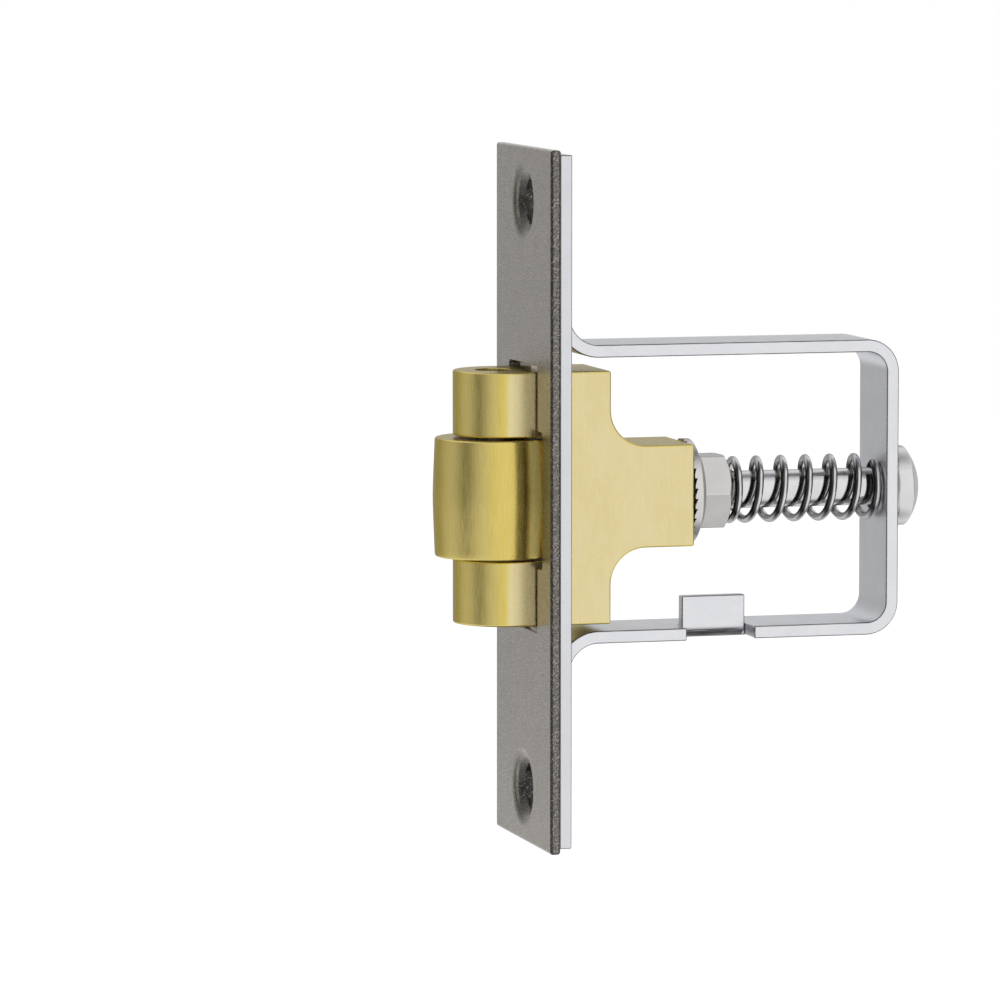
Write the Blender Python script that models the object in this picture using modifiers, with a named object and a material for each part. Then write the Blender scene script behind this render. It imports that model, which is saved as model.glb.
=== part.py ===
"""A mortice roller catch: a sprung brass roller in a bent steel frame behind a screwed face plate.

The origin is at the centre of the face plate's front. +X runs into the door along the screw, +Y across the
plate and +Z up its length. All sizes are in metres.
"""

import math

import bmesh
import bpy
from mathutils import Matrix, Vector

COLLECTION_NAME = "mortice_roller_catch"

# Clearances between pieces.
SEAT_GAP = 0.00003
SHAFT_CLEARANCE = 0.00005
ROLLER_SIDE_CLEARANCE = 0.0002

# Face plate and the back plate behind it.
PLATE_LENGTH = 0.0686
PLATE_WIDTH = 0.0200
FACE_THICKNESS = 0.00105
FACE_EDGE_RADIUS = 0.0003
BACK_THICKNESS = 0.0012
BACK_INSET = 0.0005
BACK_EDGE_RADIUS = 0.00012

# Fixing holes. The face plate is pressed in round each one, to a countersink that nests in the back plate.
FIXING_END_DISTANCE = 0.0054
FIXING_HOLE_DIAMETER = 0.0046
COUNTERSINK_DIAMETER = 0.0076
COUNTERSINK_LIP_RADIUS = 0.0020
DIMPLE_REAR = 0.0020
DIMPLE_WALL = 0.0006
DIMPLE_CLEARANCE = 0.00005

# Roller and its pin.
ROLLER_DIAMETER = 0.0118
ROLLER_LENGTH = 0.0117
ROLLER_CROWN = 0.0002
ROLLER_CROWN_BLEND = 0.0012
ROLLER_EDGE = 0.0002
ROLLER_PROJECTION = 0.0090
PIN_DIAMETER = 0.0034
PIN_RECESS = 0.0010
PIN_END_CHAMFER = 0.0002

# Carrier: a T from the side, with two lugs in front and a shank behind.
CARRIER_HEIGHT = 0.0249
CARRIER_WIDTH = 0.0095
CARRIER_LUG_REACH = 0.0070
WING_REAR = 0.00763
SHANK_REAR = 0.01617
SHANK_HEIGHT = 0.01006
SHANK_FILLET = 0.0036
SLOT_CLEARANCE = 0.0006
CARRIER_EDGE = 0.0002

# Window clearances round the carrier and the roller.
WINDOW_END_CLEARANCE = 0.0006
WINDOW_SIDE_CLEARANCE = 0.0004
ROLLER_WINDOW_SIDE_CLEARANCE = 0.0010
ROLLER_WINDOW_END_CLEARANCE = 0.00085
WINDOW_CORNER_RADIUS = 0.0004

# Bracket, bent from one strip.
STRIP_WIDTH = 0.0085
STRIP_THICKNESS = 0.00125
STRIP_EDGE = 0.0001
ARM_CLEARANCE = 0.0010
FOOT_BEND_RADIUS = 0.0030
FOOT_HOLE_CLEARANCE = 0.0027
END_BEND_RADIUS = 0.0020
BRACKET_REAR = 0.0375
BRACKET_RAISE = 0.00027
SCREW_HOLE_DIAMETER = 0.0053

# Stop tab, lanced up from the lower arm.
TAB_LENGTH = 0.0065
TAB_HEIGHT = 0.00423
TAB_SETBACK = 0.00185
TAB_BEND_RADIUS = 0.0002
TAB_SHEAR_GAP = 0.00045
STOP_TRAVEL = 0.0080

# Adjusting screw.
SCREW_DIAMETER = 0.00375
SCREW_TIP = 0.0060
SCREW_TIP_CHAMFER = 0.0004
HEAD_DIAMETER = 0.0080
HEAD_BAND = 0.0017
HEAD_DOME = 0.0015
RECESS_WIDTH = 0.0010
RECESS_LENGTH = 0.0040
RECESS_DEPTH = 0.0020

# Serrated flange nut. Each serration is cut by a wedge as wide as a share of the pitch, and the phase
# turns the wedges so that none starts at a corner of the flange's facets.
NUT_LENGTH = 0.0043
FLANGE_DIAMETER = 0.01045
FLANGE_BAND = 0.0008
FLANGE_SLOPE_HEIGHT = 0.00058
FLANGE_SLOPE_RUN = 0.0011
HEX_SIDES = 6
HEX_ACROSS_FLATS = 0.0071
HEX_FACE_DIAMETER = 0.0067
HEX_CHAMFER_ANGLE = math.radians(30)
SERRATIONS = 32
SERRATION_DEPTH = 0.00035
SERRATION_INNER_DIAMETER = 0.0072
SERRATION_SHARE = 0.8
SERRATION_PHASE = 0.3

# Compression spring, left-handed. Its closed end turns lie against the nut and the end wall.
WIRE_DIAMETER = 0.00078
SPRING_OUTER_DIAMETER = 0.0067
SPRING_TURNS = 6.667
SPRING_CLOSED_FRONT = 0.5
SPRING_CLOSED_REAR = 0.17
SPRING_BLEND_TURNS = 0.52
SPRING_START_ANGLE = math.radians(180)
SPRING_STEPS_PER_TURN = 24
SPRING_SAMPLES = 400

# How finely round shapes are divided.
ROUND_STEPS = 48
CORNER_STEPS = 8
SMALL_CORNER_STEPS = 4
LIP_STEPS = 3
LIP_END_DEGREES = 267
NOSE_STEPS = 32
CROWN_RINGS = 8
SMOOTH_ANGLE = math.radians(32)
BEVEL_ANGLE = math.radians(40)
FLAT_ANGLE = math.radians(0.5)
WELD_DISTANCE = 1e-7
AXIS_WELD_DISTANCE = 1e-6
CUT_MARGIN = 0.001

# Plain colours and roughnesses.
PEWTER = (0.16, 0.145, 0.13)
PEWTER_ROUGHNESS = 0.45
ZINC = (0.72, 0.73, 0.76)
ZINC_ROUGHNESS = 0.35
BRASS = (0.74, 0.62, 0.28)
BRASS_ROUGHNESS = 0.32
STEEL = (0.62, 0.61, 0.61)
STEEL_ROUGHNESS = 0.25

# Places worked out from the sizes above.
BACK_FRONT = FACE_THICKNESS + SEAT_GAP
BACK_REAR = BACK_FRONT + BACK_THICKNESS
FOOT_FRONT = BACK_REAR + SEAT_GAP
FIXING_Z = PLATE_LENGTH / 2 - FIXING_END_DISTANCE
FOOT_END_Z = FIXING_Z - FIXING_HOLE_DIAMETER / 2 - FOOT_HOLE_CLEARANCE
ROLLER_RADIUS = ROLLER_DIAMETER / 2
ROLLER_AXIS_X = ROLLER_RADIUS - ROLLER_PROJECTION
PIN_BORE_RADIUS = PIN_DIAMETER / 2 + SHAFT_CLEARANCE
NOSE_RADIUS = CARRIER_WIDTH / 2
NOSE_CENTRE_X = NOSE_RADIUS - CARRIER_LUG_REACH
SLOT_HALF = ROLLER_LENGTH / 2 + ROLLER_SIDE_CLEARANCE
SLOT_BOTTOM_X = ROLLER_AXIS_X + ROLLER_RADIUS + SLOT_CLEARANCE
SCREW_RADIUS = SCREW_DIAMETER / 2
SCREW_BORE_RADIUS = SCREW_RADIUS + SHAFT_CLEARANCE
ARM_INNER_Z = CARRIER_HEIGHT / 2 + ARM_CLEARANCE
ARM_OUTER_Z = ARM_INNER_Z + STRIP_THICKNESS
END_WALL_INNER_X = BRACKET_REAR - STRIP_THICKNESS
FOOT_BEND_X = FOOT_FRONT + STRIP_THICKNESS + FOOT_BEND_RADIUS
FOOT_BEND_Z = ARM_OUTER_Z + FOOT_BEND_RADIUS
END_BEND_X = END_WALL_INNER_X - END_BEND_RADIUS
END_BEND_Z = ARM_INNER_Z - END_BEND_RADIUS
TAB_FRONT_X = WING_REAR + STOP_TRAVEL
TAB_OUTER_Y = -STRIP_WIDTH / 2 + TAB_SETBACK
TAB_BEND_Y = TAB_OUTER_Y + STRIP_THICKNESS + TAB_BEND_RADIUS
NUT_FRONT = SHANK_REAR + SEAT_GAP
NUT_REAR = NUT_FRONT + NUT_LENGTH
HEAD_FRONT = BRACKET_REAR + SEAT_GAP
SPRING_FRONT = NUT_REAR + SEAT_GAP
SPRING_REAR = END_WALL_INNER_X - SEAT_GAP
SPRING_RADIUS = (SPRING_OUTER_DIAMETER - WIRE_DIAMETER) / 2


def clear_scene():
    for obj in list(bpy.data.objects):
        bpy.data.objects.remove(obj, do_unlink=True)


def new_collection(name):
    collection = bpy.data.collections.new(name)
    bpy.context.scene.collection.children.link(collection)
    return collection


def arc(centre, radius, start_degrees, end_degrees, steps):
    """Points along an arc in a plane, both ends included."""
    points = []
    for i in range(steps + 1):
        angle = math.radians(start_degrees + (end_degrees - start_degrees) * i / steps)
        points.append((centre[0] + radius * math.cos(angle), centre[1] + radius * math.sin(angle)))
    return points


def add_mesh_object(name, mesh, collection):
    obj = bpy.data.objects.new(name, mesh)
    collection.objects.link(obj)
    return obj


def curve_to_mesh(curve_object, name, collection):
    """The curve's solid as a welded mesh object; the curve itself is removed."""
    bpy.context.view_layer.update()
    evaluated = curve_object.evaluated_get(bpy.context.evaluated_depsgraph_get())
    mesh = bpy.data.meshes.new_from_object(evaluated)
    mesh.materials.clear()
    work = bmesh.new()
    work.from_mesh(mesh)
    bmesh.ops.remove_doubles(work, verts=work.verts, dist=WELD_DISTANCE)
    bmesh.ops.dissolve_limit(work, angle_limit=FLAT_ANGLE, verts=work.verts, edges=work.edges)
    bmesh.ops.recalc_face_normals(work, faces=work.faces)
    work.to_mesh(mesh)
    work.free()
    obj = add_mesh_object(name, mesh, collection)
    mesh.transform(curve_object.matrix_world)
    curve = curve_object.data
    bpy.data.objects.remove(curve_object, do_unlink=True)
    bpy.data.curves.remove(curve)
    return obj


def slab(name, outline, low, high, axis, collection):
    """A flat outline made solid from low to high along one axis.

    Along X the outline is given as (y, z), along Y as (x, z) and along Z as (x, y).
    """
    curve = bpy.data.curves.new(name + "_outline", "CURVE")
    curve.dimensions = "2D"
    curve.fill_mode = "BOTH"
    curve.extrude = (high - low) / 2
    spline = curve.splines.new("POLY")
    spline.points.add(len(outline) - 1)
    for point, (u, v) in zip(spline.points, outline):
        point.co = (u, v, 0, 1)
    spline.use_cyclic_u = True
    frames = {
        "X": Matrix(((0, 0, 1), (1, 0, 0), (0, 1, 0))),
        "Y": Matrix(((1, 0, 0), (0, 0, 1), (0, 1, 0))),
        "Z": Matrix.Identity(3),
    }
    middle = (low + high) / 2
    offset = Vector([middle if letter == axis else 0 for letter in "XYZ"])
    obj = bpy.data.objects.new(name + "_outline", curve)
    collection.objects.link(obj)
    obj.matrix_world = Matrix.Translation(offset) @ frames[axis].to_4x4()
    solid = curve_to_mesh(obj, name, collection)
    make_outward(solid.data)
    return solid


def make_outward(mesh):
    """Turn every face of a closed mesh outward."""
    work = bmesh.new()
    work.from_mesh(mesh)
    bmesh.ops.recalc_face_normals(work, faces=work.faces)
    if work.calc_volume(signed=True) < 0:
        bmesh.ops.reverse_faces(work, faces=work.faces)
    work.to_mesh(mesh)
    work.free()


def turned(name, profile, axis, collection, steps=ROUND_STEPS):
    """A solid turned about an axis from a profile of (radius, place along the axis).

    The profile runs from the high end to the low end down the outer side.
    """
    mesh = bpy.data.meshes.new(name)
    points = [(radius, 0.0, along) for radius, along in profile]
    mesh.from_pydata(points, [(i, i + 1) for i in range(len(points) - 1)], [])
    obj = add_mesh_object(name, mesh, collection)
    screw = obj.modifiers.new("turn", "SCREW")
    screw.axis = "Z"
    screw.steps = steps
    screw.render_steps = steps
    screw.use_merge_vertices = True
    screw.merge_threshold = AXIS_WELD_DISTANCE
    if axis == "X":
        obj.rotation_euler = (0, math.radians(90), 0)
    apply_modifiers(obj)
    make_outward(obj.data)
    return obj


def apply_modifiers(obj):
    """Replace the object's mesh by what its modifiers make of it, with its rotation worked in."""
    bpy.context.view_layer.update()
    evaluated = obj.evaluated_get(bpy.context.evaluated_depsgraph_get())
    mesh = bpy.data.meshes.new_from_object(evaluated)
    mesh.transform(obj.matrix_world)
    obj.modifiers.clear()
    old = obj.data
    obj.data = mesh
    obj.matrix_world = Matrix.Identity(4)
    bpy.data.meshes.remove(old)


def boolean(obj, other, operation):
    modifier = obj.modifiers.new(operation.lower(), "BOOLEAN")
    modifier.operation = operation
    modifier.solver = "EXACT"
    modifier.object = other


def bevel(obj, width, segments):
    modifier = obj.modifiers.new("bevel", "BEVEL")
    modifier.width = width
    modifier.segments = segments
    modifier.limit_method = "ANGLE"
    modifier.angle_limit = BEVEL_ANGLE
    modifier.miter_outer = "MITER_SHARP"


def cylinder(name, radius, low, high, axis, centre, collection, steps=ROUND_STEPS):
    """A plain cylinder from low to high along an axis, centred on the other two coordinates."""
    work = bmesh.new()
    bmesh.ops.create_cone(work, cap_ends=True, segments=steps, radius1=radius, radius2=radius,
                          depth=high - low)
    if axis == "X":
        bmesh.ops.rotate(work, verts=work.verts, matrix=Matrix.Rotation(math.radians(90), 3, "Y"))
        place = Vector(((low + high) / 2, centre[0], centre[1]))
    else:
        place = Vector((centre[0], centre[1], (low + high) / 2))
    bmesh.ops.translate(work, verts=work.verts, vec=place)
    mesh = bpy.data.meshes.new(name)
    work.to_mesh(mesh)
    work.free()
    return add_mesh_object(name, mesh, collection)


def box(name, low, high, collection):
    work = bmesh.new()
    bmesh.ops.create_cube(work, size=1.0)
    low, high = Vector(low), Vector(high)
    bmesh.ops.scale(work, verts=work.verts, vec=high - low)
    bmesh.ops.translate(work, verts=work.verts, vec=(low + high) / 2)
    mesh = bpy.data.meshes.new(name)
    work.to_mesh(mesh)
    work.free()
    return add_mesh_object(name, mesh, collection)


def finish(obj, material):
    """Give a part its material and shade its round faces smooth."""
    apply_modifiers(obj)
    obj.data.materials.clear()
    obj.data.materials.append(material)
    obj.data.shade_smooth()
    obj.data.set_sharp_from_angle(angle=SMOOTH_ANGLE)


def metal(name, colour, roughness):
    material = bpy.data.materials.new(name)
    material.use_nodes = True
    shader = material.node_tree.nodes["Principled BSDF"]
    shader.inputs["Base Color"].default_value = (*colour, 1.0)
    shader.inputs["Metallic"].default_value = 1.0
    shader.inputs["Roughness"].default_value = roughness
    return material


def window_outline():
    """A cross: narrow for the carrier, with a wider middle that lets the roller through."""
    narrow_y = CARRIER_WIDTH / 2 + WINDOW_SIDE_CLEARANCE
    end_z = CARRIER_HEIGHT / 2 + WINDOW_END_CLEARANCE
    wide_y = ROLLER_RADIUS + ROLLER_WINDOW_SIDE_CLEARANCE
    wide_z = ROLLER_LENGTH / 2 + ROLLER_WINDOW_END_CLEARANCE
    r = WINDOW_CORNER_RADIUS
    steps = SMALL_CORNER_STEPS
    quarter = []
    quarter += arc((wide_y - r, wide_z - r), r, 0, 90, steps)
    quarter += arc((narrow_y + r, wide_z + r), r, 270, 180, steps)
    quarter += arc((narrow_y - r, end_z - r), r, 0, 90, steps)
    mirrored_y = [(-y, z) for y, z in reversed(quarter)]
    upper = quarter + mirrored_y
    lower = [(y, -z) for y, z in reversed(upper)]
    return upper + lower


def cut_window(plate, cutters):
    """The window passes through the face plate and the back plate alike."""
    window = slab(plate.name + "_window", window_outline(), -CUT_MARGIN, BACK_REAR + CUT_MARGIN, "X", cutters)
    boolean(plate, window, "DIFFERENCE")


def dimple_radius_at(x):
    """The outer side of the pressed countersink, a wall's thickness outside its 45 degree cone."""
    return COUNTERSINK_DIAMETER / 2 + DIMPLE_WALL * math.sqrt(2) - x


def at_each_fixing(plate, word, profile, operation, cutters, turn=0.0):
    """Join or cut the same turned shape at both fixing holes, its facets turned by some angle."""
    for side, place in ((-1, "_lower_"), (1, "_upper_")):
        cutter = turned(plate.name + place + word, profile, "X", cutters)
        cutter.rotation_euler = (turn, 0, 0)
        cutter.location = (0, 0, side * FIXING_Z)
        boolean(plate, cutter, operation)


def make_face_plate(parts, cutters, material):
    plate = box("face_plate", (0, -PLATE_WIDTH / 2, -PLATE_LENGTH / 2),
                (FACE_THICKNESS, PLATE_WIDTH / 2, PLATE_LENGTH / 2), parts)
    bevel(plate, FACE_EDGE_RADIUS, 3)
    cut_window(plate, cutters)
    middle = FACE_THICKNESS / 2
    dimple = [(0, DIMPLE_REAR), (dimple_radius_at(DIMPLE_REAR), DIMPLE_REAR),
              (dimple_radius_at(middle), middle), (0, middle)]
    at_each_fixing(plate, "dimple", dimple, "UNION", cutters, math.pi / ROUND_STEPS)
    hole_r = FIXING_HOLE_DIAMETER / 2
    sink_r = COUNTERSINK_DIAMETER / 2
    high = DIMPLE_REAR + CUT_MARGIN
    lip = COUNTERSINK_LIP_RADIUS
    lip_start = sink_r + lip * math.tan(math.radians(22.5))
    passage = [(0, high), (hole_r, high), (hole_r, sink_r - hole_r)]
    passage += arc((lip_start, lip), lip, 225, LIP_END_DEGREES, LIP_STEPS)
    passage += [(lip_start + CUT_MARGIN, -CUT_MARGIN), (0, -CUT_MARGIN)]
    at_each_fixing(plate, "passage", passage, "DIFFERENCE", cutters)
    finish(plate, material)
    return plate


def make_back_plate(parts, cutters, material):
    half_y = PLATE_WIDTH / 2 - BACK_INSET
    half_z = PLATE_LENGTH / 2 - BACK_INSET
    plate = box("back_plate", (BACK_FRONT, -half_y, -half_z), (BACK_REAR, half_y, half_z), parts)
    bevel(plate, BACK_EDGE_RADIUS, 2)
    cut_window(plate, cutters)
    hole_r = dimple_radius_at(DIMPLE_REAR) + DIMPLE_CLEARANCE
    high = BACK_REAR + CUT_MARGIN
    low = BACK_FRONT - CUT_MARGIN
    nest = [(0, high), (hole_r, high), (hole_r, DIMPLE_REAR),
            (dimple_radius_at(low) + DIMPLE_CLEARANCE, low), (0, low)]
    at_each_fixing(plate, "nest", nest, "DIFFERENCE", cutters)
    finish(plate, material)
    return plate


def strip_outline():
    """The strip's edge-on outline as (x, z): up one foot, round the loop and down to the other foot."""
    t = STRIP_THICKNESS
    n = CORNER_STEPS
    upper_inner = [(FOOT_FRONT, FOOT_END_Z)]
    upper_inner += arc((FOOT_BEND_X, FOOT_BEND_Z), FOOT_BEND_RADIUS + t, 180, 270, n)
    upper_inner += arc((END_BEND_X, END_BEND_Z), END_BEND_RADIUS, 90, 0, n)
    upper_outer = [(FOOT_FRONT + t, FOOT_END_Z)]
    upper_outer += arc((FOOT_BEND_X, FOOT_BEND_Z), FOOT_BEND_RADIUS, 180, 270, n)
    upper_outer += arc((END_BEND_X, END_BEND_Z), END_BEND_RADIUS + t, 90, 0, n)
    lower_inner = [(x, -z) for x, z in reversed(upper_inner)]
    lower_outer = [(x, -z) for x, z in reversed(upper_outer)]
    inner = upper_inner + lower_inner
    outer = upper_outer + lower_outer
    return inner + list(reversed(outer))


def tab_outline():
    """The stop tab's section as (y, z): a foot in the arm, a bend and an upright."""
    t = STRIP_THICKNESS
    underside = -ARM_OUTER_Z
    bend_z = underside + t + TAB_BEND_RADIUS
    n = SMALL_CORNER_STEPS
    points = [(0.0, underside)]
    points += arc((TAB_BEND_Y, bend_z), TAB_BEND_RADIUS + t, 270, 180, 2 * n)
    points += [(TAB_OUTER_Y, underside + TAB_HEIGHT), (TAB_OUTER_Y + t, underside + TAB_HEIGHT)]
    points += arc((TAB_BEND_Y, bend_z), TAB_BEND_RADIUS, 180, 270, n)
    points += [(0.0, underside + t)]
    return points


def make_bracket(parts, cutters, material):
    half = STRIP_WIDTH / 2
    bracket = slab("bracket", strip_outline(), -half, half, "Y", parts)
    notch_low = (TAB_FRONT_X, -half - CUT_MARGIN, -ARM_OUTER_Z - CUT_MARGIN)
    notch_high = (TAB_FRONT_X + TAB_LENGTH + TAB_SHEAR_GAP, TAB_BEND_Y, -ARM_INNER_Z + CUT_MARGIN)
    boolean(bracket, box("bracket_notch", notch_low, notch_high, cutters), "DIFFERENCE")
    tab = slab("bracket_tab", tab_outline(), TAB_FRONT_X, TAB_FRONT_X + TAB_LENGTH, "X", cutters)
    boolean(bracket, tab, "UNION")
    bevel(bracket, STRIP_EDGE, 1)
    hole = cylinder("bracket_hole", SCREW_HOLE_DIAMETER / 2, END_WALL_INNER_X - CUT_MARGIN,
                    BRACKET_REAR + CUT_MARGIN, "X", (0, -BRACKET_RAISE), cutters)
    boolean(bracket, hole, "DIFFERENCE")
    finish(bracket, material)
    bracket.data.transform(Matrix.Translation((0, 0, BRACKET_RAISE)))
    return bracket


def carrier_side_outline():
    """The carrier from the side as (x, z): a tall front block, and a shank joined by two fillets."""
    front = -CARRIER_LUG_REACH - CUT_MARGIN
    half = CARRIER_HEIGHT / 2
    shank = SHANK_HEIGHT / 2
    fillet = arc((WING_REAR + SHANK_FILLET, shank + SHANK_FILLET), SHANK_FILLET, 180, 270, CORNER_STEPS)
    upper = [(front, half), (WING_REAR, half)] + fillet + [(SHANK_REAR, shank)]
    lower = [(x, -z) for x, z in reversed(upper)]
    return upper + lower


def carrier_plan_outline():
    """The carrier from above as (x, y): a round nose and parallel sides."""
    half = CARRIER_WIDTH / 2
    nose = arc((NOSE_CENTRE_X, 0), NOSE_RADIUS, 90, 270, NOSE_STEPS)
    rear = SHANK_REAR + CUT_MARGIN
    return nose + [(rear, -half), (rear, half)]


def make_carrier(parts, cutters, material):
    half_width = CARRIER_WIDTH / 2 + CUT_MARGIN
    half_height = CARRIER_HEIGHT / 2 + CUT_MARGIN
    carrier = slab("roller_carrier", carrier_side_outline(), -half_width, half_width, "Y", parts)
    plan = slab("carrier_plan", carrier_plan_outline(), -half_height, half_height, "Z", cutters)
    boolean(carrier, plan, "INTERSECT")
    slot = box("carrier_slot", (-CARRIER_LUG_REACH - CUT_MARGIN, -half_width, -SLOT_HALF),
               (SLOT_BOTTOM_X, half_width, SLOT_HALF), cutters)
    boolean(carrier, slot, "DIFFERENCE")
    bevel(carrier, CARRIER_EDGE, 2)
    pin_bore = cylinder("carrier_pin_bore", PIN_BORE_RADIUS, -half_height, half_height, "Z",
                        (ROLLER_AXIS_X, 0), cutters, ROUND_STEPS // 2)
    boolean(carrier, pin_bore, "DIFFERENCE")
    screw_bore = cylinder("carrier_screw_bore", SCREW_BORE_RADIUS, SLOT_BOTTOM_X - CUT_MARGIN,
                          SHANK_REAR + CUT_MARGIN, "X", (0, 0), cutters, ROUND_STEPS // 2)
    boolean(carrier, screw_bore, "DIFFERENCE")
    finish(carrier, material)
    return carrier


def roller_radius_at(z):
    """The crown: two shallow cones that blend into each other at mid-height."""
    slope_run = math.hypot(z, ROLLER_CROWN_BLEND) - ROLLER_CROWN_BLEND
    end_run = math.hypot(ROLLER_LENGTH / 2, ROLLER_CROWN_BLEND) - ROLLER_CROWN_BLEND
    return ROLLER_RADIUS - ROLLER_CROWN * slope_run / end_run


def make_roller(parts, cutters, material):
    half = ROLLER_LENGTH / 2
    crown_half = half - ROLLER_EDGE
    heights = [crown_half * (1 - 2 * i / CROWN_RINGS) for i in range(CROWN_RINGS + 1)]
    edge_radius = roller_radius_at(half) - ROLLER_EDGE
    profile = [(0, half), (edge_radius, half)]
    profile += [(roller_radius_at(z), z) for z in heights]
    profile += [(edge_radius, -half), (0, -half)]
    roller = turned("roller", profile, "Z", parts, ROUND_STEPS)
    bore = cylinder("roller_bore", PIN_BORE_RADIUS, -half - CUT_MARGIN, half + CUT_MARGIN, "Z",
                    (0, 0), cutters, ROUND_STEPS // 2)
    boolean(roller, bore, "DIFFERENCE")
    finish(roller, material)
    roller.location = (ROLLER_AXIS_X, 0, 0)
    return roller


def make_pin(parts, material):
    half = CARRIER_HEIGHT / 2 - PIN_RECESS
    radius = PIN_DIAMETER / 2
    end = radius - PIN_END_CHAMFER
    profile = [(0, half), (end, half), (radius, half - PIN_END_CHAMFER),
               (radius, PIN_END_CHAMFER - half), (end, -half), (0, -half)]
    pin = turned("roller_pin", profile, "Z", parts, ROUND_STEPS // 2)
    finish(pin, material)
    pin.location = (ROLLER_AXIS_X, 0, 0)
    return pin


def make_screw(parts, cutters, material):
    head_r = HEAD_DIAMETER / 2
    dome_start = HEAD_FRONT + HEAD_BAND
    tip_r = SCREW_RADIUS - SCREW_TIP_CHAMFER
    dome = [(head_r * math.sin(a), dome_start + HEAD_DOME * math.cos(a))
            for a in (math.radians(90 * i / CORNER_STEPS) for i in range(CORNER_STEPS + 1))]
    profile = dome + [(head_r, HEAD_FRONT), (SCREW_RADIUS, HEAD_FRONT),
                      (SCREW_RADIUS, SCREW_TIP + SCREW_TIP_CHAMFER), (tip_r, SCREW_TIP), (0, SCREW_TIP)]
    screw = turned("adjusting_screw", profile, "X", parts)
    top = dome_start + HEAD_DOME
    half_width, half_length = RECESS_WIDTH / 2, RECESS_LENGTH / 2
    for name, half_y, half_z in (("recess_across", half_length, half_width),
                                 ("recess_upright", half_width, half_length)):
        cross = box("screw_" + name, (top - RECESS_DEPTH, -half_y, -half_z),
                    (top + CUT_MARGIN, half_y, half_z), cutters)
        boolean(screw, cross, "DIFFERENCE")
    finish(screw, material)
    return screw


def serration_cutter(cutters):
    """Radial wedges, each with one upright flank and one sloping flank, all round the flange's front."""
    inner, outer = SERRATION_INNER_DIAMETER / 2, FLANGE_DIAMETER / 2 + CUT_MARGIN
    pitch_angle = 2 * math.pi / SERRATIONS
    width = SERRATION_SHARE * FLANGE_DIAMETER * math.sin(pitch_angle / 2)
    section = [(0, SERRATION_DEPTH), (-width, 0), (-width, -CUT_MARGIN), (0, -CUT_MARGIN)]
    work = bmesh.new()
    for i in range(SERRATIONS):
        turn = Matrix.Rotation((i + SERRATION_PHASE) * pitch_angle, 4, "X")
        near, far = [], []
        for radius, ring in ((inner, near), (outer, far)):
            for across, depth in section:
                place = Vector((NUT_FRONT + depth, across * radius / outer, radius))
                ring.append(work.verts.new(turn @ place))
        work.faces.new(near)
        work.faces.new(list(reversed(far)))
        for a in range(len(section)):
            b = (a + 1) % len(section)
            work.faces.new((near[b], near[a], far[a], far[b]))
    bmesh.ops.recalc_face_normals(work, faces=work.faces)
    mesh = bpy.data.meshes.new("nut_serrations")
    work.to_mesh(mesh)
    work.free()
    return add_mesh_object("nut_serrations", mesh, cutters)


def make_nut(parts, cutters, material):
    corner_r = HEX_ACROSS_FLATS / 2 / math.cos(math.pi / HEX_SIDES)
    face_r = HEX_FACE_DIAMETER / 2
    flange_r = FLANGE_DIAMETER / 2
    band_rear = NUT_FRONT + FLANGE_BAND
    slope_rear = band_rear + FLANGE_SLOPE_HEIGHT
    nut = cylinder("flange_nut", corner_r, band_rear, NUT_REAR, "X", (0, 0), parts, HEX_SIDES)
    envelope_r = corner_r + CUT_MARGIN
    chamfer_run = (envelope_r - face_r) * math.tan(HEX_CHAMFER_ANGLE)
    envelope = turned("nut_envelope", [
        (0, NUT_REAR + CUT_MARGIN), (face_r, NUT_REAR + CUT_MARGIN), (face_r, NUT_REAR),
        (envelope_r, NUT_REAR - chamfer_run), (envelope_r, NUT_FRONT), (0, NUT_FRONT)], "X", cutters)
    boolean(nut, envelope, "INTERSECT")
    flange = turned("nut_flange", [
        (0, slope_rear), (flange_r - FLANGE_SLOPE_RUN, slope_rear),
        (flange_r, band_rear), (flange_r, NUT_FRONT), (0, NUT_FRONT)], "X", cutters,
        SERRATIONS * 2)
    boolean(nut, flange, "UNION")
    boolean(nut, serration_cutter(cutters), "DIFFERENCE")
    bore = cylinder("nut_bore", SCREW_BORE_RADIUS, NUT_FRONT - CUT_MARGIN, NUT_REAR + CUT_MARGIN, "X",
                    (0, 0), cutters, ROUND_STEPS // 2)
    boolean(nut, bore, "DIFFERENCE")
    finish(nut, material)
    return nut


def spring_advance(turn):
    """How far along the axis the wire has come: one wire a turn at the closed ends, wider between."""
    weights = []
    for i in range(SPRING_SAMPLES):
        t = (i + 0.5) / SPRING_SAMPLES * SPRING_TURNS
        past_closed = min(t - SPRING_CLOSED_FRONT, SPRING_TURNS - t - SPRING_CLOSED_REAR)
        weights.append(min(1.0, max(0.0, past_closed / SPRING_BLEND_TURNS)))
    closed = WIRE_DIAMETER * SPRING_TURNS
    length = SPRING_REAR - SPRING_FRONT - WIRE_DIAMETER
    open_share = (length - closed) / sum(weights)
    done = int(round(turn / SPRING_TURNS * SPRING_SAMPLES))
    return WIRE_DIAMETER * turn + open_share * sum(weights[:done])


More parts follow.
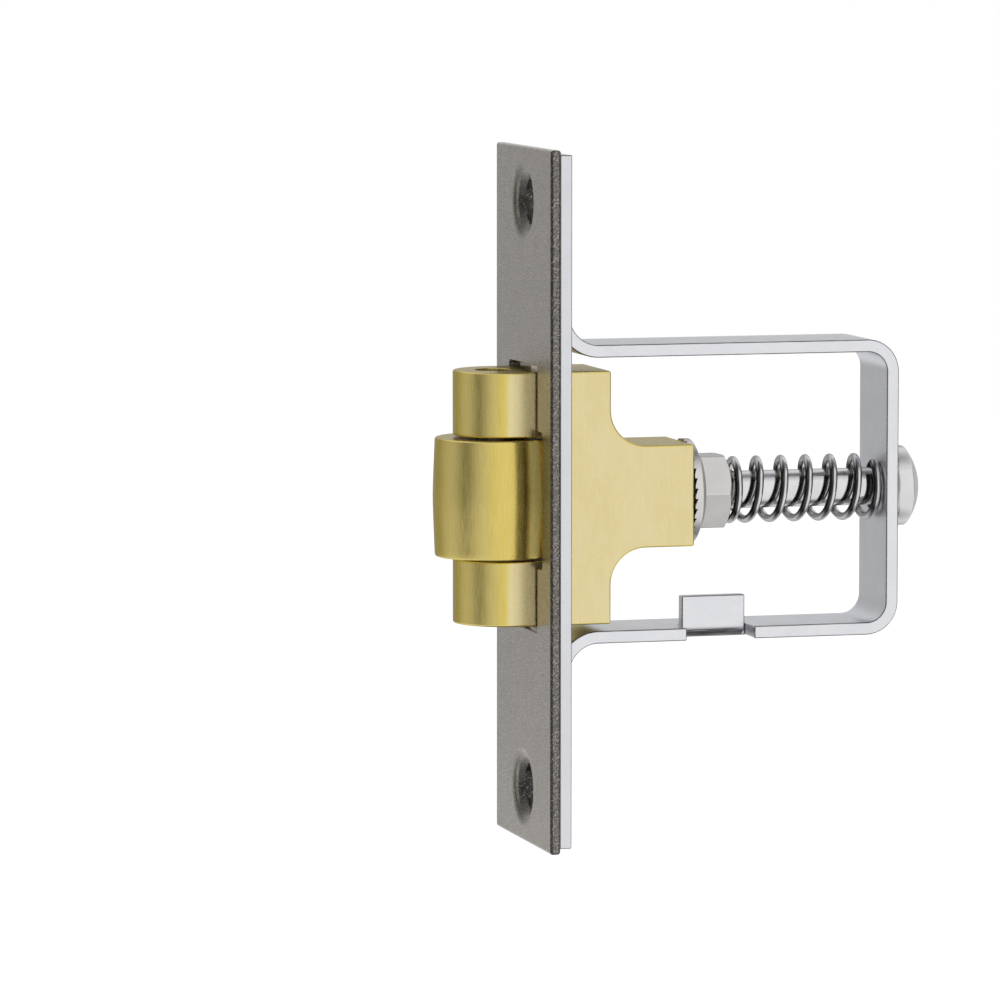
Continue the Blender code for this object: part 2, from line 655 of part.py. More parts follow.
def make_spring(parts, material):
    count = int(round(SPRING_TURNS * SPRING_STEPS_PER_TURN))
    curve = bpy.data.curves.new("spring_path", "CURVE")
    curve.dimensions = "3D"
    curve.bevel_depth = WIRE_DIAMETER / 2
    curve.bevel_resolution = 2
    curve.use_fill_caps = True
    spline = curve.splines.new("POLY")
    spline.points.add(count)
    for i, point in enumerate(spline.points):
        turn = SPRING_TURNS * i / count
        angle = SPRING_START_ANGLE - 2 * math.pi * turn
        x = SPRING_FRONT + WIRE_DIAMETER / 2 + spring_advance(turn)
        point.co = (x, -SPRING_RADIUS * math.cos(angle), -SPRING_RADIUS * math.sin(angle), 1)
    path = bpy.data.objects.new("spring_path", curve)
    parts.objects.link(path)
    spring = curve_to_mesh(path, "compression_spring", parts)
    finish(spring, material)
    return spring


def hide_cutters(cutters):
    for obj in cutters.objects:
        obj.hide_render = True
        obj.display_type = "WIRE"


def build():
    clear_scene()
    parts = new_collection(COLLECTION_NAME)
    cutters = new_collection("cutters")
    pewter = metal("antique_pewter", PEWTER, PEWTER_ROUGHNESS)
    zinc = metal("zinc_plate", ZINC, ZINC_ROUGHNESS)
    brass = metal("brushed_brass", BRASS, BRASS_ROUGHNESS)
    steel = metal("bright_steel", STEEL, STEEL_ROUGHNESS)
    make_face_plate(parts, cutters, pewter)
    make_back_plate(parts, cutters, zinc)
    make_bracket(parts, cutters, zinc.copy())
    carriage = bpy.data.objects.new("carriage", None)
    parts.objects.link(carriage)
    moving = [
        make_carrier(parts, cutters, brass),
        make_roller(parts, cutters, brass.copy()),
        make_pin(parts, steel),
        make_screw(parts, cutters, steel.copy()),
        make_nut(parts, cutters, steel.copy()),
    ]
    for piece in moving:
        piece.parent = carriage
    make_spring(parts, steel.copy())
    hide_cutters(cutters)


build()
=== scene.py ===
"""Looks for the mortice roller catch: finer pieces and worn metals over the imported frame.

The frame is the one of the part's source: the origin at the centre of the face plate's front, +X into the
door, +Y across the plate and +Z up its length. All sizes are in metres.
"""

import math

import bmesh
import bpy
from mathutils import Matrix, Vector


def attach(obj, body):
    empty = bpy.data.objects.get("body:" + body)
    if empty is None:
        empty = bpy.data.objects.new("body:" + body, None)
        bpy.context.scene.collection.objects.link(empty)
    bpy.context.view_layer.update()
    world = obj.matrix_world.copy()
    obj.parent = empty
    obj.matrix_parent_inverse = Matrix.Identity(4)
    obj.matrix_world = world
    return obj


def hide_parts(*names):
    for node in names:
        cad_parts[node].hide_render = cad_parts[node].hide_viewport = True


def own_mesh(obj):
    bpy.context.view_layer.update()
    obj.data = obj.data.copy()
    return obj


# Sizes repeated from the part's source.
SEAT_GAP = 0.00003
SHAFT_CLEARANCE = 0.00005
ROLLER_SIDE_CLEARANCE = 0.0002
PLATE_LENGTH = 0.0686
PLATE_WIDTH = 0.0200
FACE_THICKNESS = 0.00105
FACE_EDGE_RADIUS = 0.0003
BACK_THICKNESS = 0.0012
BACK_INSET = 0.0005
BACK_EDGE_RADIUS = 0.00012
FIXING_END_DISTANCE = 0.0054
FIXING_HOLE_DIAMETER = 0.0046
COUNTERSINK_DIAMETER = 0.0076
DIMPLE_REAR = 0.0020
DIMPLE_WALL = 0.0006
DIMPLE_CLEARANCE = 0.00005
ROLLER_DIAMETER = 0.0118
ROLLER_LENGTH = 0.0117
ROLLER_CROWN = 0.0002
ROLLER_CROWN_BLEND = 0.0012
ROLLER_EDGE = 0.0002
ROLLER_PROJECTION = 0.0090
PIN_DIAMETER = 0.0034
PIN_RECESS = 0.0010
PIN_END_CHAMFER = 0.0002
CARRIER_HEIGHT = 0.0249
CARRIER_WIDTH = 0.0095
CARRIER_LUG_REACH = 0.0070
WING_REAR = 0.00763
SHANK_REAR = 0.01617
SHANK_HEIGHT = 0.01006
SHANK_FILLET = 0.0036
SLOT_CLEARANCE = 0.0006
CARRIER_EDGE = 0.0002
WINDOW_END_CLEARANCE = 0.0006
WINDOW_SIDE_CLEARANCE = 0.0004
ROLLER_WINDOW_SIDE_CLEARANCE = 0.0010
ROLLER_WINDOW_END_CLEARANCE = 0.00085
WINDOW_CORNER_RADIUS = 0.0004
STRIP_WIDTH = 0.0085
STRIP_THICKNESS = 0.00125
ARM_CLEARANCE = 0.0010
FOOT_BEND_RADIUS = 0.0030
FOOT_HOLE_CLEARANCE = 0.0027
END_BEND_RADIUS = 0.0020
BRACKET_REAR = 0.0375
BRACKET_RAISE = 0.00027
SCREW_HOLE_DIAMETER = 0.0053
TAB_LENGTH = 0.0065
TAB_HEIGHT = 0.00423
TAB_SETBACK = 0.00185
TAB_BEND_RADIUS = 0.0002
TAB_SHEAR_GAP = 0.00045
TAB_SHEAR_LINE = 0.00003
STOP_TRAVEL = 0.0080
SCREW_DIAMETER = 0.00375
SCREW_TIP = 0.0060
SCREW_TIP_CHAMFER = 0.0004
HEAD_DIAMETER = 0.0080
HEAD_BAND = 0.0017
RECESS_WIDTH = 0.0010
RECESS_LENGTH = 0.0040
RECESS_DEPTH = 0.0020
NUT_LENGTH = 0.0043
FLANGE_DIAMETER = 0.01045
FLANGE_BAND = 0.0008
FLANGE_SLOPE_HEIGHT = 0.00058
FLANGE_SLOPE_RUN = 0.0011
HEX_SIDES = 6
HEX_ACROSS_FLATS = 0.0071
HEX_FACE_DIAMETER = 0.0067
HEX_CHAMFER_ANGLE = math.radians(30)
SERRATIONS = 32
SERRATION_INNER_DIAMETER = 0.0072
SERRATION_SHARE = 0.8
SERRATION_PHASE = 0.3
WIRE_DIAMETER = 0.00078
SPRING_OUTER_DIAMETER = 0.0067
SPRING_TURNS = 6.667
SPRING_CLOSED_FRONT = 0.5
SPRING_CLOSED_REAR = 0.17
SPRING_BLEND_TURNS = 0.52
SPRING_START_ANGLE = math.radians(180)

# Finer shapes that only the looks have.
SINK_LOOK_DIAMETER = 0.0064
SINK_LOOK_LIP_RADIUS = 0.0020
SERRATION_LOOK_DEPTH = 0.00026
STRIP_LOOK_EDGE = 0.00015
WINDOW_RIM_RADIUS = 0.00009
DIMPLE_HEEL_RADIUS = 0.0003
BORE_RIM_RADIUS = 0.00006
RECESS_TAPER = 0.45
RECESS_CORNER = 0.00018
HEAD_LOOK_DOME = 0.00147
HEAD_CREASE = 0.00014
HEAD_EDGE_RADIUS = 0.0005
NUT_EDGE_RADIUS = 0.00005
WIRE_END_RADIUS = 0.00008
WIRE_SHOULDER = 0.3

# How finely round shapes are divided.
ROUND_STEPS = 160
BORE_STEPS = 96
BEND_STEPS = 28
NOSE_STEPS = 96
CORNER_STEPS = 10
LIP_STEPS = 14
LIP_END_DEGREES = 268.5
CROWN_RINGS = 40
EDGE_SEGMENTS = 4
EDGE_OVER_DEGREES = 40
SOFT_EDGE_SEGMENTS = 6
FINE_EDGE_SEGMENTS = 3
RIM_OVER_DEGREES = 60
RECESS_CORNER_STEPS = 4
WIRE_SIDES = 20
WIRE_STEPS_PER_TURN = 56
NORMAL_WEIGHT = 60
ADVANCE_SAMPLES = 4000
SHARP_ANGLE = math.radians(32)
CUT_MARGIN = 0.001
WELD_DISTANCE = 1e-7

# Places worked out from the sizes above.
BACK_FRONT = FACE_THICKNESS + SEAT_GAP
BACK_REAR = BACK_FRONT + BACK_THICKNESS
FOOT_FRONT = BACK_REAR + SEAT_GAP
FIXING_Z = PLATE_LENGTH / 2 - FIXING_END_DISTANCE
FOOT_END_Z = FIXING_Z - FIXING_HOLE_DIAMETER / 2 - FOOT_HOLE_CLEARANCE
ROLLER_RADIUS = ROLLER_DIAMETER / 2
ROLLER_AXIS_X = ROLLER_RADIUS - ROLLER_PROJECTION
PIN_BORE_RADIUS = PIN_DIAMETER / 2 + SHAFT_CLEARANCE
NOSE_RADIUS = CARRIER_WIDTH / 2
NOSE_CENTRE_X = NOSE_RADIUS - CARRIER_LUG_REACH
SLOT_HALF = ROLLER_LENGTH / 2 + ROLLER_SIDE_CLEARANCE
SLOT_BOTTOM_X = ROLLER_AXIS_X + ROLLER_RADIUS + SLOT_CLEARANCE
SCREW_RADIUS = SCREW_DIAMETER / 2
SCREW_BORE_RADIUS = SCREW_RADIUS + SHAFT_CLEARANCE
ARM_INNER_Z = CARRIER_HEIGHT / 2 + ARM_CLEARANCE
ARM_OUTER_Z = ARM_INNER_Z + STRIP_THICKNESS
END_WALL_INNER_X = BRACKET_REAR - STRIP_THICKNESS
FOOT_BEND_X = FOOT_FRONT + STRIP_THICKNESS + FOOT_BEND_RADIUS
FOOT_BEND_Z = ARM_OUTER_Z + FOOT_BEND_RADIUS
END_BEND_X = END_WALL_INNER_X - END_BEND_RADIUS
END_BEND_Z = ARM_INNER_Z - END_BEND_RADIUS
TAB_FRONT_X = WING_REAR + STOP_TRAVEL
TAB_OUTER_Y = -STRIP_WIDTH / 2 + TAB_SETBACK
TAB_BEND_Y = TAB_OUTER_Y + STRIP_THICKNESS + TAB_BEND_RADIUS
NUT_FRONT = SHANK_REAR + SEAT_GAP
NUT_REAR = NUT_FRONT + NUT_LENGTH
HEAD_FRONT = BRACKET_REAR + SEAT_GAP
SPRING_FRONT = NUT_REAR + SEAT_GAP
SPRING_REAR = END_WALL_INNER_X - SEAT_GAP
SPRING_RADIUS = (SPRING_OUTER_DIAMETER - WIRE_DIAMETER) / 2

# Camera, worked out from the photo.
CAMERA_PLACE = (-0.16647, -0.59511, 0.06090)
CAMERA_TURN = (math.radians(84.328), math.radians(0.0), math.radians(-15.4175))
CAMERA_LENS = 227.37
CAMERA_SENSOR = 36.0
CAMERA_CLIP_START = 0.01

# Studio: a white surround, a pale floor well below the part, a soft lamp, and three graded grey cards that
# bright metal reflects, two curved round the sides and one overhead. The side cards' greys are given by the
# degrees round from the front, and the top card's by its elevation. The floor's reflection holds a painted
# shadow: dark straight below the part and pale further out.
FLOOR_Z = -0.13
FLOOR_RADIUS = 1.6
FLOOR_STEPS = 64
FLOOR_ROUGHNESS = 0.9
FLOOR_COLOUR = (0.70, 0.70, 0.70)
FLOOR_FILL = 0.45
FLOOR_SHADE_COLOUR = (0.03, 0.03, 0.03)
FLOOR_SHADE_FILL = 0.92
FLOOR_SHADE_START = 0.025
FLOOR_SHADE_END = 0.115
WORLD_DIFFUSE_STRENGTH = 0.85
CARD_DISTANCE = 0.5
SIDE_CARD_LOW = -0.12
SIDE_CARD_HIGH = 0.30
LEFT_CARD_GREYS = [(-215, 0.84), (-185, 0.79), (-172, 0.63), (-162, 0.59), (-154, 0.50), (-147, 0.42),
                   (-136, 0.46), (-120, 0.56), (-105, 0.59), (-93, 0.55), (-82, 0.40), (-75, 0.26),
                   (-68, 0.20), (-61, 0.30), (-51, 0.48), (-40, 0.65), (-29, 0.75), (-18, 0.86), (-8, 0.94)]
RIGHT_CARD_GREYS = [(46, 0.94), (56, 0.62), (66, 0.33), (80, 0.26), (98, 0.28), (110, 0.55), (122, 0.85),
                    (140, 0.95)]
TOP_CARD_GREYS = [(90, 0.02), (84, 0.03), (78, 0.12), (72, 0.34), (66, 0.56), (59, 0.76), (52, 0.87),
                  (46, 0.93)]
TOP_CARD_STEEPEST = 89.9
LAMP_PLACE = (0.2, -0.75, 0.45)
LAMP_SIZE = 0.5
LAMP_ENERGY = 0.12


def arc(centre, radius, start_degrees, end_degrees, steps):
    """Points along an arc in a plane, both ends included."""
    points = []
    for i in range(steps + 1):
        angle = math.radians(start_degrees + (end_degrees - start_degrees) * i / steps)
        points.append((centre[0] + radius * math.cos(angle), centre[1] + radius * math.sin(angle)))
    return points


def rounded(path, radii, steps=CORNER_STEPS):
    """An open path with the corner at each listed index replaced by an arc of that radius."""
    points = []
    for i, point in enumerate(path):
        if i not in radii:
            points.append(point)
            continue
        corner = Vector(point)
        back = (Vector(path[i - 1]) - corner).normalized()
        ahead = (Vector(path[i + 1]) - corner).normalized()
        half = back.angle(ahead) / 2
        reach = radii[i] / math.tan(half)
        centre = corner + (back + ahead).normalized() * radii[i] / math.sin(half)
        first = corner + back * reach - centre
        last = corner + ahead * reach - centre
        sweep = first.angle_signed(last)
        for k in range(steps + 1):
            turn = Matrix.Rotation(-sweep * k / steps, 2)
            points.append(tuple(centre + turn @ first))
    return points


def linked(name, data):
    """A new object in the scene."""
    obj = bpy.data.objects.new(name, data)
    bpy.context.scene.collection.objects.link(obj)
    return obj


def mesh_object(name, work):
    """An object in the scene from a bmesh, which is used up."""
    mesh = bpy.data.meshes.new(name)
    work.to_mesh(mesh)
    work.free()
    return linked(name, mesh)


def new_piece(name, work):
    """An object in the scene from a bmesh, with its faces turned outward."""
    bmesh.ops.recalc_face_normals(work, faces=work.faces)
    if work.calc_volume(signed=True) < 0:
        bmesh.ops.reverse_faces(work, faces=work.faces)
    return mesh_object(name, work)


def new_material(name):
    """A material with nodes, its node tree and its shader."""
    material = bpy.data.materials.new(name)
    material.use_nodes = True
    return material, material.node_tree, material.node_tree.nodes["Principled BSDF"]


def along_axis(axis, u, v, w):
    """A point from its two coordinates in a section and its place along the section's axis."""
    if axis == "X":
        return (w, u, v)
    if axis == "Y":
        return (u, w, v)
    return (u, v, w)


def slab(name, outline, low, high, axis):
    """A closed outline made solid from low to high: (y, z) along X, (x, z) along Y, (x, y) along Z."""
    work = bmesh.new()
    ends = [[work.verts.new(along_axis(axis, u, v, w)) for u, v in outline] for w in (low, high)]
    work.faces.new(ends[0])
    work.faces.new(ends[1])
    for i in range(len(outline)):
        j = (i + 1) % len(outline)
        work.faces.new((ends[0][i], ends[0][j], ends[1][j], ends[1][i]))
    bmesh.ops.remove_doubles(work, verts=work.verts, dist=WELD_DISTANCE)
    return new_piece(name, work)


def lathe(name, profile, axis, steps=ROUND_STEPS, closed=False):
    """A solid turned about an axis from a profile of (radius, place along the axis).

    An open profile starts and ends on the axis. A closed one makes a ring with a bore.
    """
    work = bmesh.new()
    rings = []
    for radius, along in profile:
        count = steps if radius > WELD_DISTANCE else 1
        ring = []
        for k in range(count):
            angle = 2 * math.pi * k / steps
            point = along_axis(axis, radius * math.cos(angle), radius * math.sin(angle), along)
            ring.append(work.verts.new(point))
        rings.append(ring)
    pairs = list(zip(rings, rings[1:]))
    if closed:
        pairs.append((rings[-1], rings[0]))
    for near, far in pairs:
        for k in range(steps):
            m = (k + 1) % steps
            if len(near) == 1:
                work.faces.new((near[0], far[k], far[m]))
            elif len(far) == 1:
                work.faces.new((near[k], far[0], near[m]))
            else:
                work.faces.new((near[k], far[k], far[m], near[m]))
    return new_piece(name, work)


def block(name, low, high):
    """A box between two corners."""
    outline = [(low[1], low[2]), (high[1], low[2]), (high[1], high[2]), (low[1], high[2])]
    return slab(name, outline, low[0], high[0], "X")


def rod(name, radius, low, high, axis, centre=(0.0, 0.0), steps=BORE_STEPS):
    """A straight round cutter, centred on its section's two coordinates."""
    outline = []
    for k in range(steps):
        angle = 2 * math.pi * k / steps
        outline.append((centre[0] + radius * math.cos(angle), centre[1] + radius * math.sin(angle)))
    return slab(name, outline, low, high, axis)


def apply_modifiers(obj):
    """Replace the object's mesh by what its modifiers make of it."""
    bpy.context.view_layer.update()
    evaluated = obj.evaluated_get(bpy.context.evaluated_depsgraph_get())
    mesh = bpy.data.meshes.new_from_object(evaluated)
    obj.modifiers.clear()
    old = obj.data
    obj.data = mesh
    bpy.data.meshes.remove(old)


def combine(obj, other, operation):
    """Cut, join or intersect with another solid, which is used up."""
    modifier = obj.modifiers.new(operation.lower(), "BOOLEAN")
    modifier.operation = operation
    modifier.solver = "EXACT"
    modifier.object = other
    apply_modifiers(obj)
    mesh = other.data
    bpy.data.objects.remove(other, do_unlink=True)
    bpy.data.meshes.remove(mesh)


def bevel(obj, width, segments=EDGE_SEGMENTS, over_degrees=EDGE_OVER_DEGREES, clamp=True):
    """Round every edge that turns by more than some degrees."""
    modifier = obj.modifiers.new("bevel", "BEVEL")
    modifier.width = width
    modifier.segments = segments
    modifier.limit_method = "ANGLE"
    modifier.angle_limit = math.radians(over_degrees)
    modifier.use_clamp_overlap = clamp
    apply_modifiers(obj)


def round_rims(obj, radius=BORE_RIM_RADIUS):
    """Break the sharp rims that a cut leaves, and leave rounded edges as they are."""
    bevel(obj, radius, FINE_EDGE_SEGMENTS, RIM_OVER_DEGREES, clamp=False)


def dress(obj, body, node, material, weighted=True):
    """Shade a finished piece, give it its material, and put it in its CAD node's place."""
    obj.data.shade_smooth()
    obj.data.set_sharp_from_angle(angle=SHARP_ANGLE)
    if weighted:
        modifier = obj.modifiers.new("weighted_normals", "WEIGHTED_NORMAL")
        modifier.keep_sharp = True
        modifier.weight = NORMAL_WEIGHT
        apply_modifiers(obj)
    obj.data.materials.clear()
    obj.data.materials.append(material)
    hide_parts(node)
    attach(obj, body)


class Shade:
    """A metal's node tree, with short calls for the nodes that it uses."""

    def __init__(self, name, roughness, seed=0.0):
        self.material, self.tree, self.shader = new_material(name)
        self.shader.inputs["Metallic"].default_value = 1.0
        self.shader.inputs["Roughness"].default_value = roughness
        coords = self.tree.nodes.new("ShaderNodeTexCoord")
        self.place = coords.outputs["Object"]
        self.normal = coords.outputs["Normal"]
        self.seed = seed

    def add(self, kind, inputs, **settings):
        node = self.tree.nodes.new(kind)
        for key, value in settings.items():
            setattr(node, key, value)
        for key, value in inputs.items():
            socket = node.inputs[key]
            if isinstance(value, bpy.types.NodeSocket):
                self.tree.links.new(value, socket)
            else:
                socket.default_value = value
        return node

    def maths(self, operation, a, b=0.0):
        return self.add("ShaderNodeMath", {0: a, 1: b}, operation=operation).outputs[0]

    def range(self, value, low, high, to_low=0.0, to_high=1.0):
        """A smooth step from to_low to to_high as value goes from low to high."""
        inputs = {"Value": value, "From Min": low, "From Max": high, "To Min": to_low, "To Max": to_high}
        return self.add("ShaderNodeMapRange", inputs, interpolation_type="SMOOTHSTEP").outputs[0]

    def mapped(self, vector, scale, turn=(0.0, 0.0, 0.0), offset=0.0):
        """The vector turned by degrees, then scaled, by a Mapping node."""
        turned = self.add("ShaderNodeMapping", {
            "Vector": vector, "Rotation": tuple(math.radians(a) for a in turn),
            "Location": (offset + self.seed,) * 3}, vector_type="TEXTURE").outputs[0]
        return self.add("ShaderNodeVectorMath", {0: turned, 1: scale}, operation="MULTIPLY").outputs[0]

    def noise(self, vector, scale, detail=3.0, rough=0.5, offset=0.0, turn=(0.0, 0.0, 0.0)):
        """Noise with a scale for each axis, in cycles a metre, on axes turned by degrees."""
        if isinstance(scale, (int, float)):
            scale = (scale,) * 3
        inputs = {"Vector": self.mapped(vector, scale, turn, offset), "Scale": 1.0, "Detail": detail,
                  "Roughness": rough}
        return self.add("ShaderNodeTexNoise", inputs).outputs[0]

    def warped(self, amount, scale):
        """The object's coordinates, moved about by slow noise."""
        inputs = {"Vector": self.mapped(self.place, (scale,) * 3), "Scale": 1.0, "Detail": 1.0}
        field = self.add("ShaderNodeTexNoise", inputs).outputs["Color"]
        centred = self.add("ShaderNodeVectorMath", {0: field, 1: (0.5, 0.5, 0.5)}, operation="SUBTRACT")
        sized = self.add("ShaderNodeVectorMath", {0: centred.outputs[0], "Scale": amount}, operation="SCALE")
        moved = self.add("ShaderNodeVectorMath", {0: self.place, 1: sized.outputs[0]}, operation="ADD")
        return moved.outputs[0]

    def scratches(self, vector, turn, length, width, share=0.1, offset=0.0):
        """Short straight marks of about that length and width, scattered along one turned axis."""
        cell = (share / length * 2, share / width * 2, share / width * 2)
        inputs = {"Vector": self.mapped(vector, cell, turn, offset), "Scale": 1.0}
        distance = self.add("ShaderNodeTexVoronoi", inputs).outputs["Distance"]
        return self.range(distance, share, share * 0.4)

    def mix(self, amount, a, b):
        """A colour between a and b."""
        def colour(value):
            return (*value, 1.0) if isinstance(value, tuple) else value
        node = self.add("ShaderNodeMix", {0: amount, 6: colour(a), 7: colour(b)}, data_type="RGBA")
        return node.outputs[2]

    def largest(self, *values):
        result = values[0]
        for value in values[1:]:
            result = self.maths("MAXIMUM", result, value)
        return result

    def facing(self):
        """How squarely the surface faces along each axis, as three numbers from 0 to 1."""
        size = self.add("ShaderNodeVectorMath", {0: self.normal}, operation="ABSOLUTE").outputs[0]
        return self.add("ShaderNodeSeparateXYZ", {0: size}).outputs

    def fixing_radius(self):
        """How far a point is from the nearer fixing hole's axis, in all and up or down alone."""
        y, z = self.add("ShaderNodeSeparateXYZ", {0: self.place}).outputs[1:]
        up = self.maths("SUBTRACT", self.maths("ABSOLUTE", z), FIXING_Z)
        offset = self.add("ShaderNodeCombineXYZ", {1: y, 2: up}).outputs[0]
        radius = self.add("ShaderNodeVectorMath", {0: offset}, operation="LENGTH").outputs["Value"]
        return radius, self.maths("ABSOLUTE", up)

    def edges(self, low=0.985, high=0.93):
        """1 on rounded edges, where the surface faces along no axis, and 0 on flats."""
        return self.range(self.largest(*self.facing()), low, high)

    def surface(self, colour, roughness, height, depth, strength=1.0, coated=False):
        """Join the colour, roughness and bump to the shader."""
        bump = self.add("ShaderNodeBump", {"Height": height, "Distance": depth, "Strength": strength})
        self.tree.links.new(bump.outputs[0], self.shader.inputs["Normal"])
        if coated:
            self.tree.links.new(bump.outputs[0], self.shader.inputs["Coat Normal"])
        self.tree.links.new(colour, self.shader.inputs["Base Color"])
        self.tree.links.new(roughness, self.shader.inputs["Roughness"])
        return self.material


def pewter_material(name):
    """Dark antique pewter under lacquer: grain, pits, bronze scratches, patina and painted shade in the
    countersinks, a painted dark reflection on the upright edges, and a bronze ring that is partly a painted
    highlight.
    """
    s = Shade(name, 0.3)
    s.shader.inputs["Coat Weight"].default_value = 1.0
    s.shader.inputs["Coat Roughness"].default_value = 0.17
    s.shader.inputs["Coat IOR"].default_value = 1.57
    s.shader.inputs["Specular Tint"].default_value = (1.0, 0.94, 0.86, 1)
    cloud = s.noise(s.place, 260, 5.0, 0.6)
    grain = s.noise(s.place, (2600, 8500, 8500), 3.0, 0.7, 3.0, (0, -48, 12))
    fine = s.noise(s.place, 11000, 2.0, 0.6, 5.0)
    loose = s.warped(0.0003, 900)
    gate = s.range(s.noise(s.place, 500, 3.0, 0.6, 7.0), 0.36, 0.52)
    marks = s.largest(
        s.scratches(loose, (0, -52, 0), 0.0018, 0.00006, 0.2, 0.1),
        s.scratches(loose, (-24, 0, 62), 0.0018, 0.00006, 0.2, 0.5),
        s.scratches(loose, (77, 4, 0), 0.0016, 0.00006, 0.2, 0.9),
        s.scratches(loose, (0, -38, 15), 0.0016, 0.00007, 0.2, 1.3))
    marks = s.maths("MULTIPLY", marks, gate)
    specks = s.range(s.noise(s.place, 5200, 2.0, 0.7, 9.0), 0.56, 0.66)
    pits = s.range(s.noise(s.place, (2600, 2600, 1700), 2.0, 0.6, 12.0), 0.34, 0.28)
    patina = s.mix(s.range(cloud, 0.34, 0.66), (0.080, 0.073, 0.064), (0.115, 0.106, 0.096))
    patina = s.mix(s.range(grain, 0.45, 0.57), patina, (0.255, 0.230, 0.203))
    patina = s.mix(s.range(fine, 0.42, 0.53, 0.9, 0.0), patina, (0.016, 0.014, 0.011))
    (across, up), along = s.fixing_radius(), s.facing()
    # Black in the countersinks: partly the antique finish's patina, partly painted shade.
    recess = s.range(across, 0.0039, 0.0032)
    # Painted dark reflection along the plate's rounded upright edges.
    corner = s.range(s.maths("MULTIPLY", along[0], along[1]), 0.12, 0.3)
    patina_and_painted_black = s.largest(s.maths("MULTIPLY", recess, 0.96), corner)
    # Bronze ring in each countersink: partly rubbed bronze, partly a painted highlight, strongest at its
    # sides and faded above and below.
    ring = s.maths("MULTIPLY", s.range(across, 0.00282, 0.00298), s.range(across, 0.00330, 0.00316))
    ring = s.maths("MULTIPLY", ring, s.range(up, 0.0024, 0.0012, 0.2, 1.0))
    ring = s.maths("MULTIPLY", ring, s.range(fine, 0.42, 0.56, 0.2, 0.9))
    dents = s.scratches(loose, (0, -24, -90), 0.0010, 0.00012, 0.14, 1.9)
    colour = s.mix(s.maths("MULTIPLY", specks, 0.85), patina, (0.50, 0.45, 0.39))
    colour = s.mix(patina_and_painted_black, colour, (0.012, 0.010, 0.008))
    colour = s.mix(ring, colour, (0.320, 0.270, 0.220))
    colour = s.mix(s.maths("MULTIPLY", pits, 0.9), colour, (0.010, 0.008, 0.006))
    colour = s.mix(s.maths("MULTIPLY", marks, 0.85), colour, (0.62, 0.53, 0.45))
    roughness = s.maths("ADD", s.range(grain, 0.3, 0.7, 0.22, 0.32), s.maths("MULTIPLY", fine, 0.06))
    height = s.maths("SUBTRACT", s.maths("ADD", grain, s.maths("MULTIPLY", fine, 0.5)),
                     s.largest(s.maths("MULTIPLY", marks, 0.5), s.maths("MULTIPLY", pits, 1.5),
                               s.maths("MULTIPLY", dents, 2.5)))
    return s.surface(colour, roughness, height, 0.000030, 1.0, coated=True)


def zinc_material(name, seed, strip):
    """Bright zinc plating: faintly clouded, with thin scratches, and a painted dark reflection along the
    rounded edges.
    """
    s = Shade(name, 0.33, seed)
    s.shader.inputs["Specular Tint"].default_value = (0.72, 0.73, 0.74, 1)
    cloud = s.noise(s.place, 330, 4.0, 0.55)
    grain = s.noise(s.place, 6000, 3.0, 0.6, 3.0)
    drawn = s.noise(s.place, (420, 9000, 9000), 2.0, 0.5, 5.0)
    loose = s.warped(0.0012, 240)
    gate = s.range(s.noise(s.place, 380, 3.0, 0.6, 7.0), 0.45, 0.62)
    marks = s.largest(
        s.scratches(loose, (0, 24, 8), 0.0021, 0.000035, 0.1, 0.2),
        s.scratches(loose, (12, -47, 0), 0.0014, 0.000035, 0.1, 0.6),
        s.scratches(loose, (35, 0, 64), 0.0015, 0.000035, 0.1, 1.1))
    marks = s.maths("MULTIPLY", marks, gate)
    if strip:
        dull, bright, worn = (0.750, 0.754, 0.780), (0.805, 0.809, 0.835), (0.68, 0.685, 0.71)
    else:
        dull, bright, worn = (0.690, 0.697, 0.720), (0.740, 0.747, 0.770), (0.62, 0.627, 0.65)
    colour = s.mix(s.range(cloud, 0.3, 0.7), dull, bright)
    colour = s.mix(s.range(grain, 0.4, 0.75, 0.0, 0.3), colour, worn)
    # Painted dark reflection along the rounded edges.
    if strip:
        across = s.facing()[1]
        painted_dark_edge = s.maths("MULTIPLY", s.range(across, 0.06, 0.4), s.range(across, 0.985, 0.9))
    else:
        painted_dark_edge = s.edges()
    painted_dark_edge = s.maths("MULTIPLY", painted_dark_edge, s.range(drawn, 0.3, 0.6, 0.6, 0.95))
    colour = s.mix(painted_dark_edge, colour, (0.090, 0.090, 0.095))
    colour = s.mix(s.maths("MULTIPLY", marks, 0.45), colour, (0.40, 0.41, 0.43))
    roughness = s.maths("ADD", s.range(cloud, 0.3, 0.7, 0.27, 0.34), s.maths("MULTIPLY", grain, 0.06))
    height = s.maths("SUBTRACT", s.maths("ADD", grain, s.maths("MULTIPLY", drawn, 0.6)),
                     s.maths("MULTIPLY", marks, 0.6))
    return s.surface(colour, roughness, height, 0.0000016, 0.5)


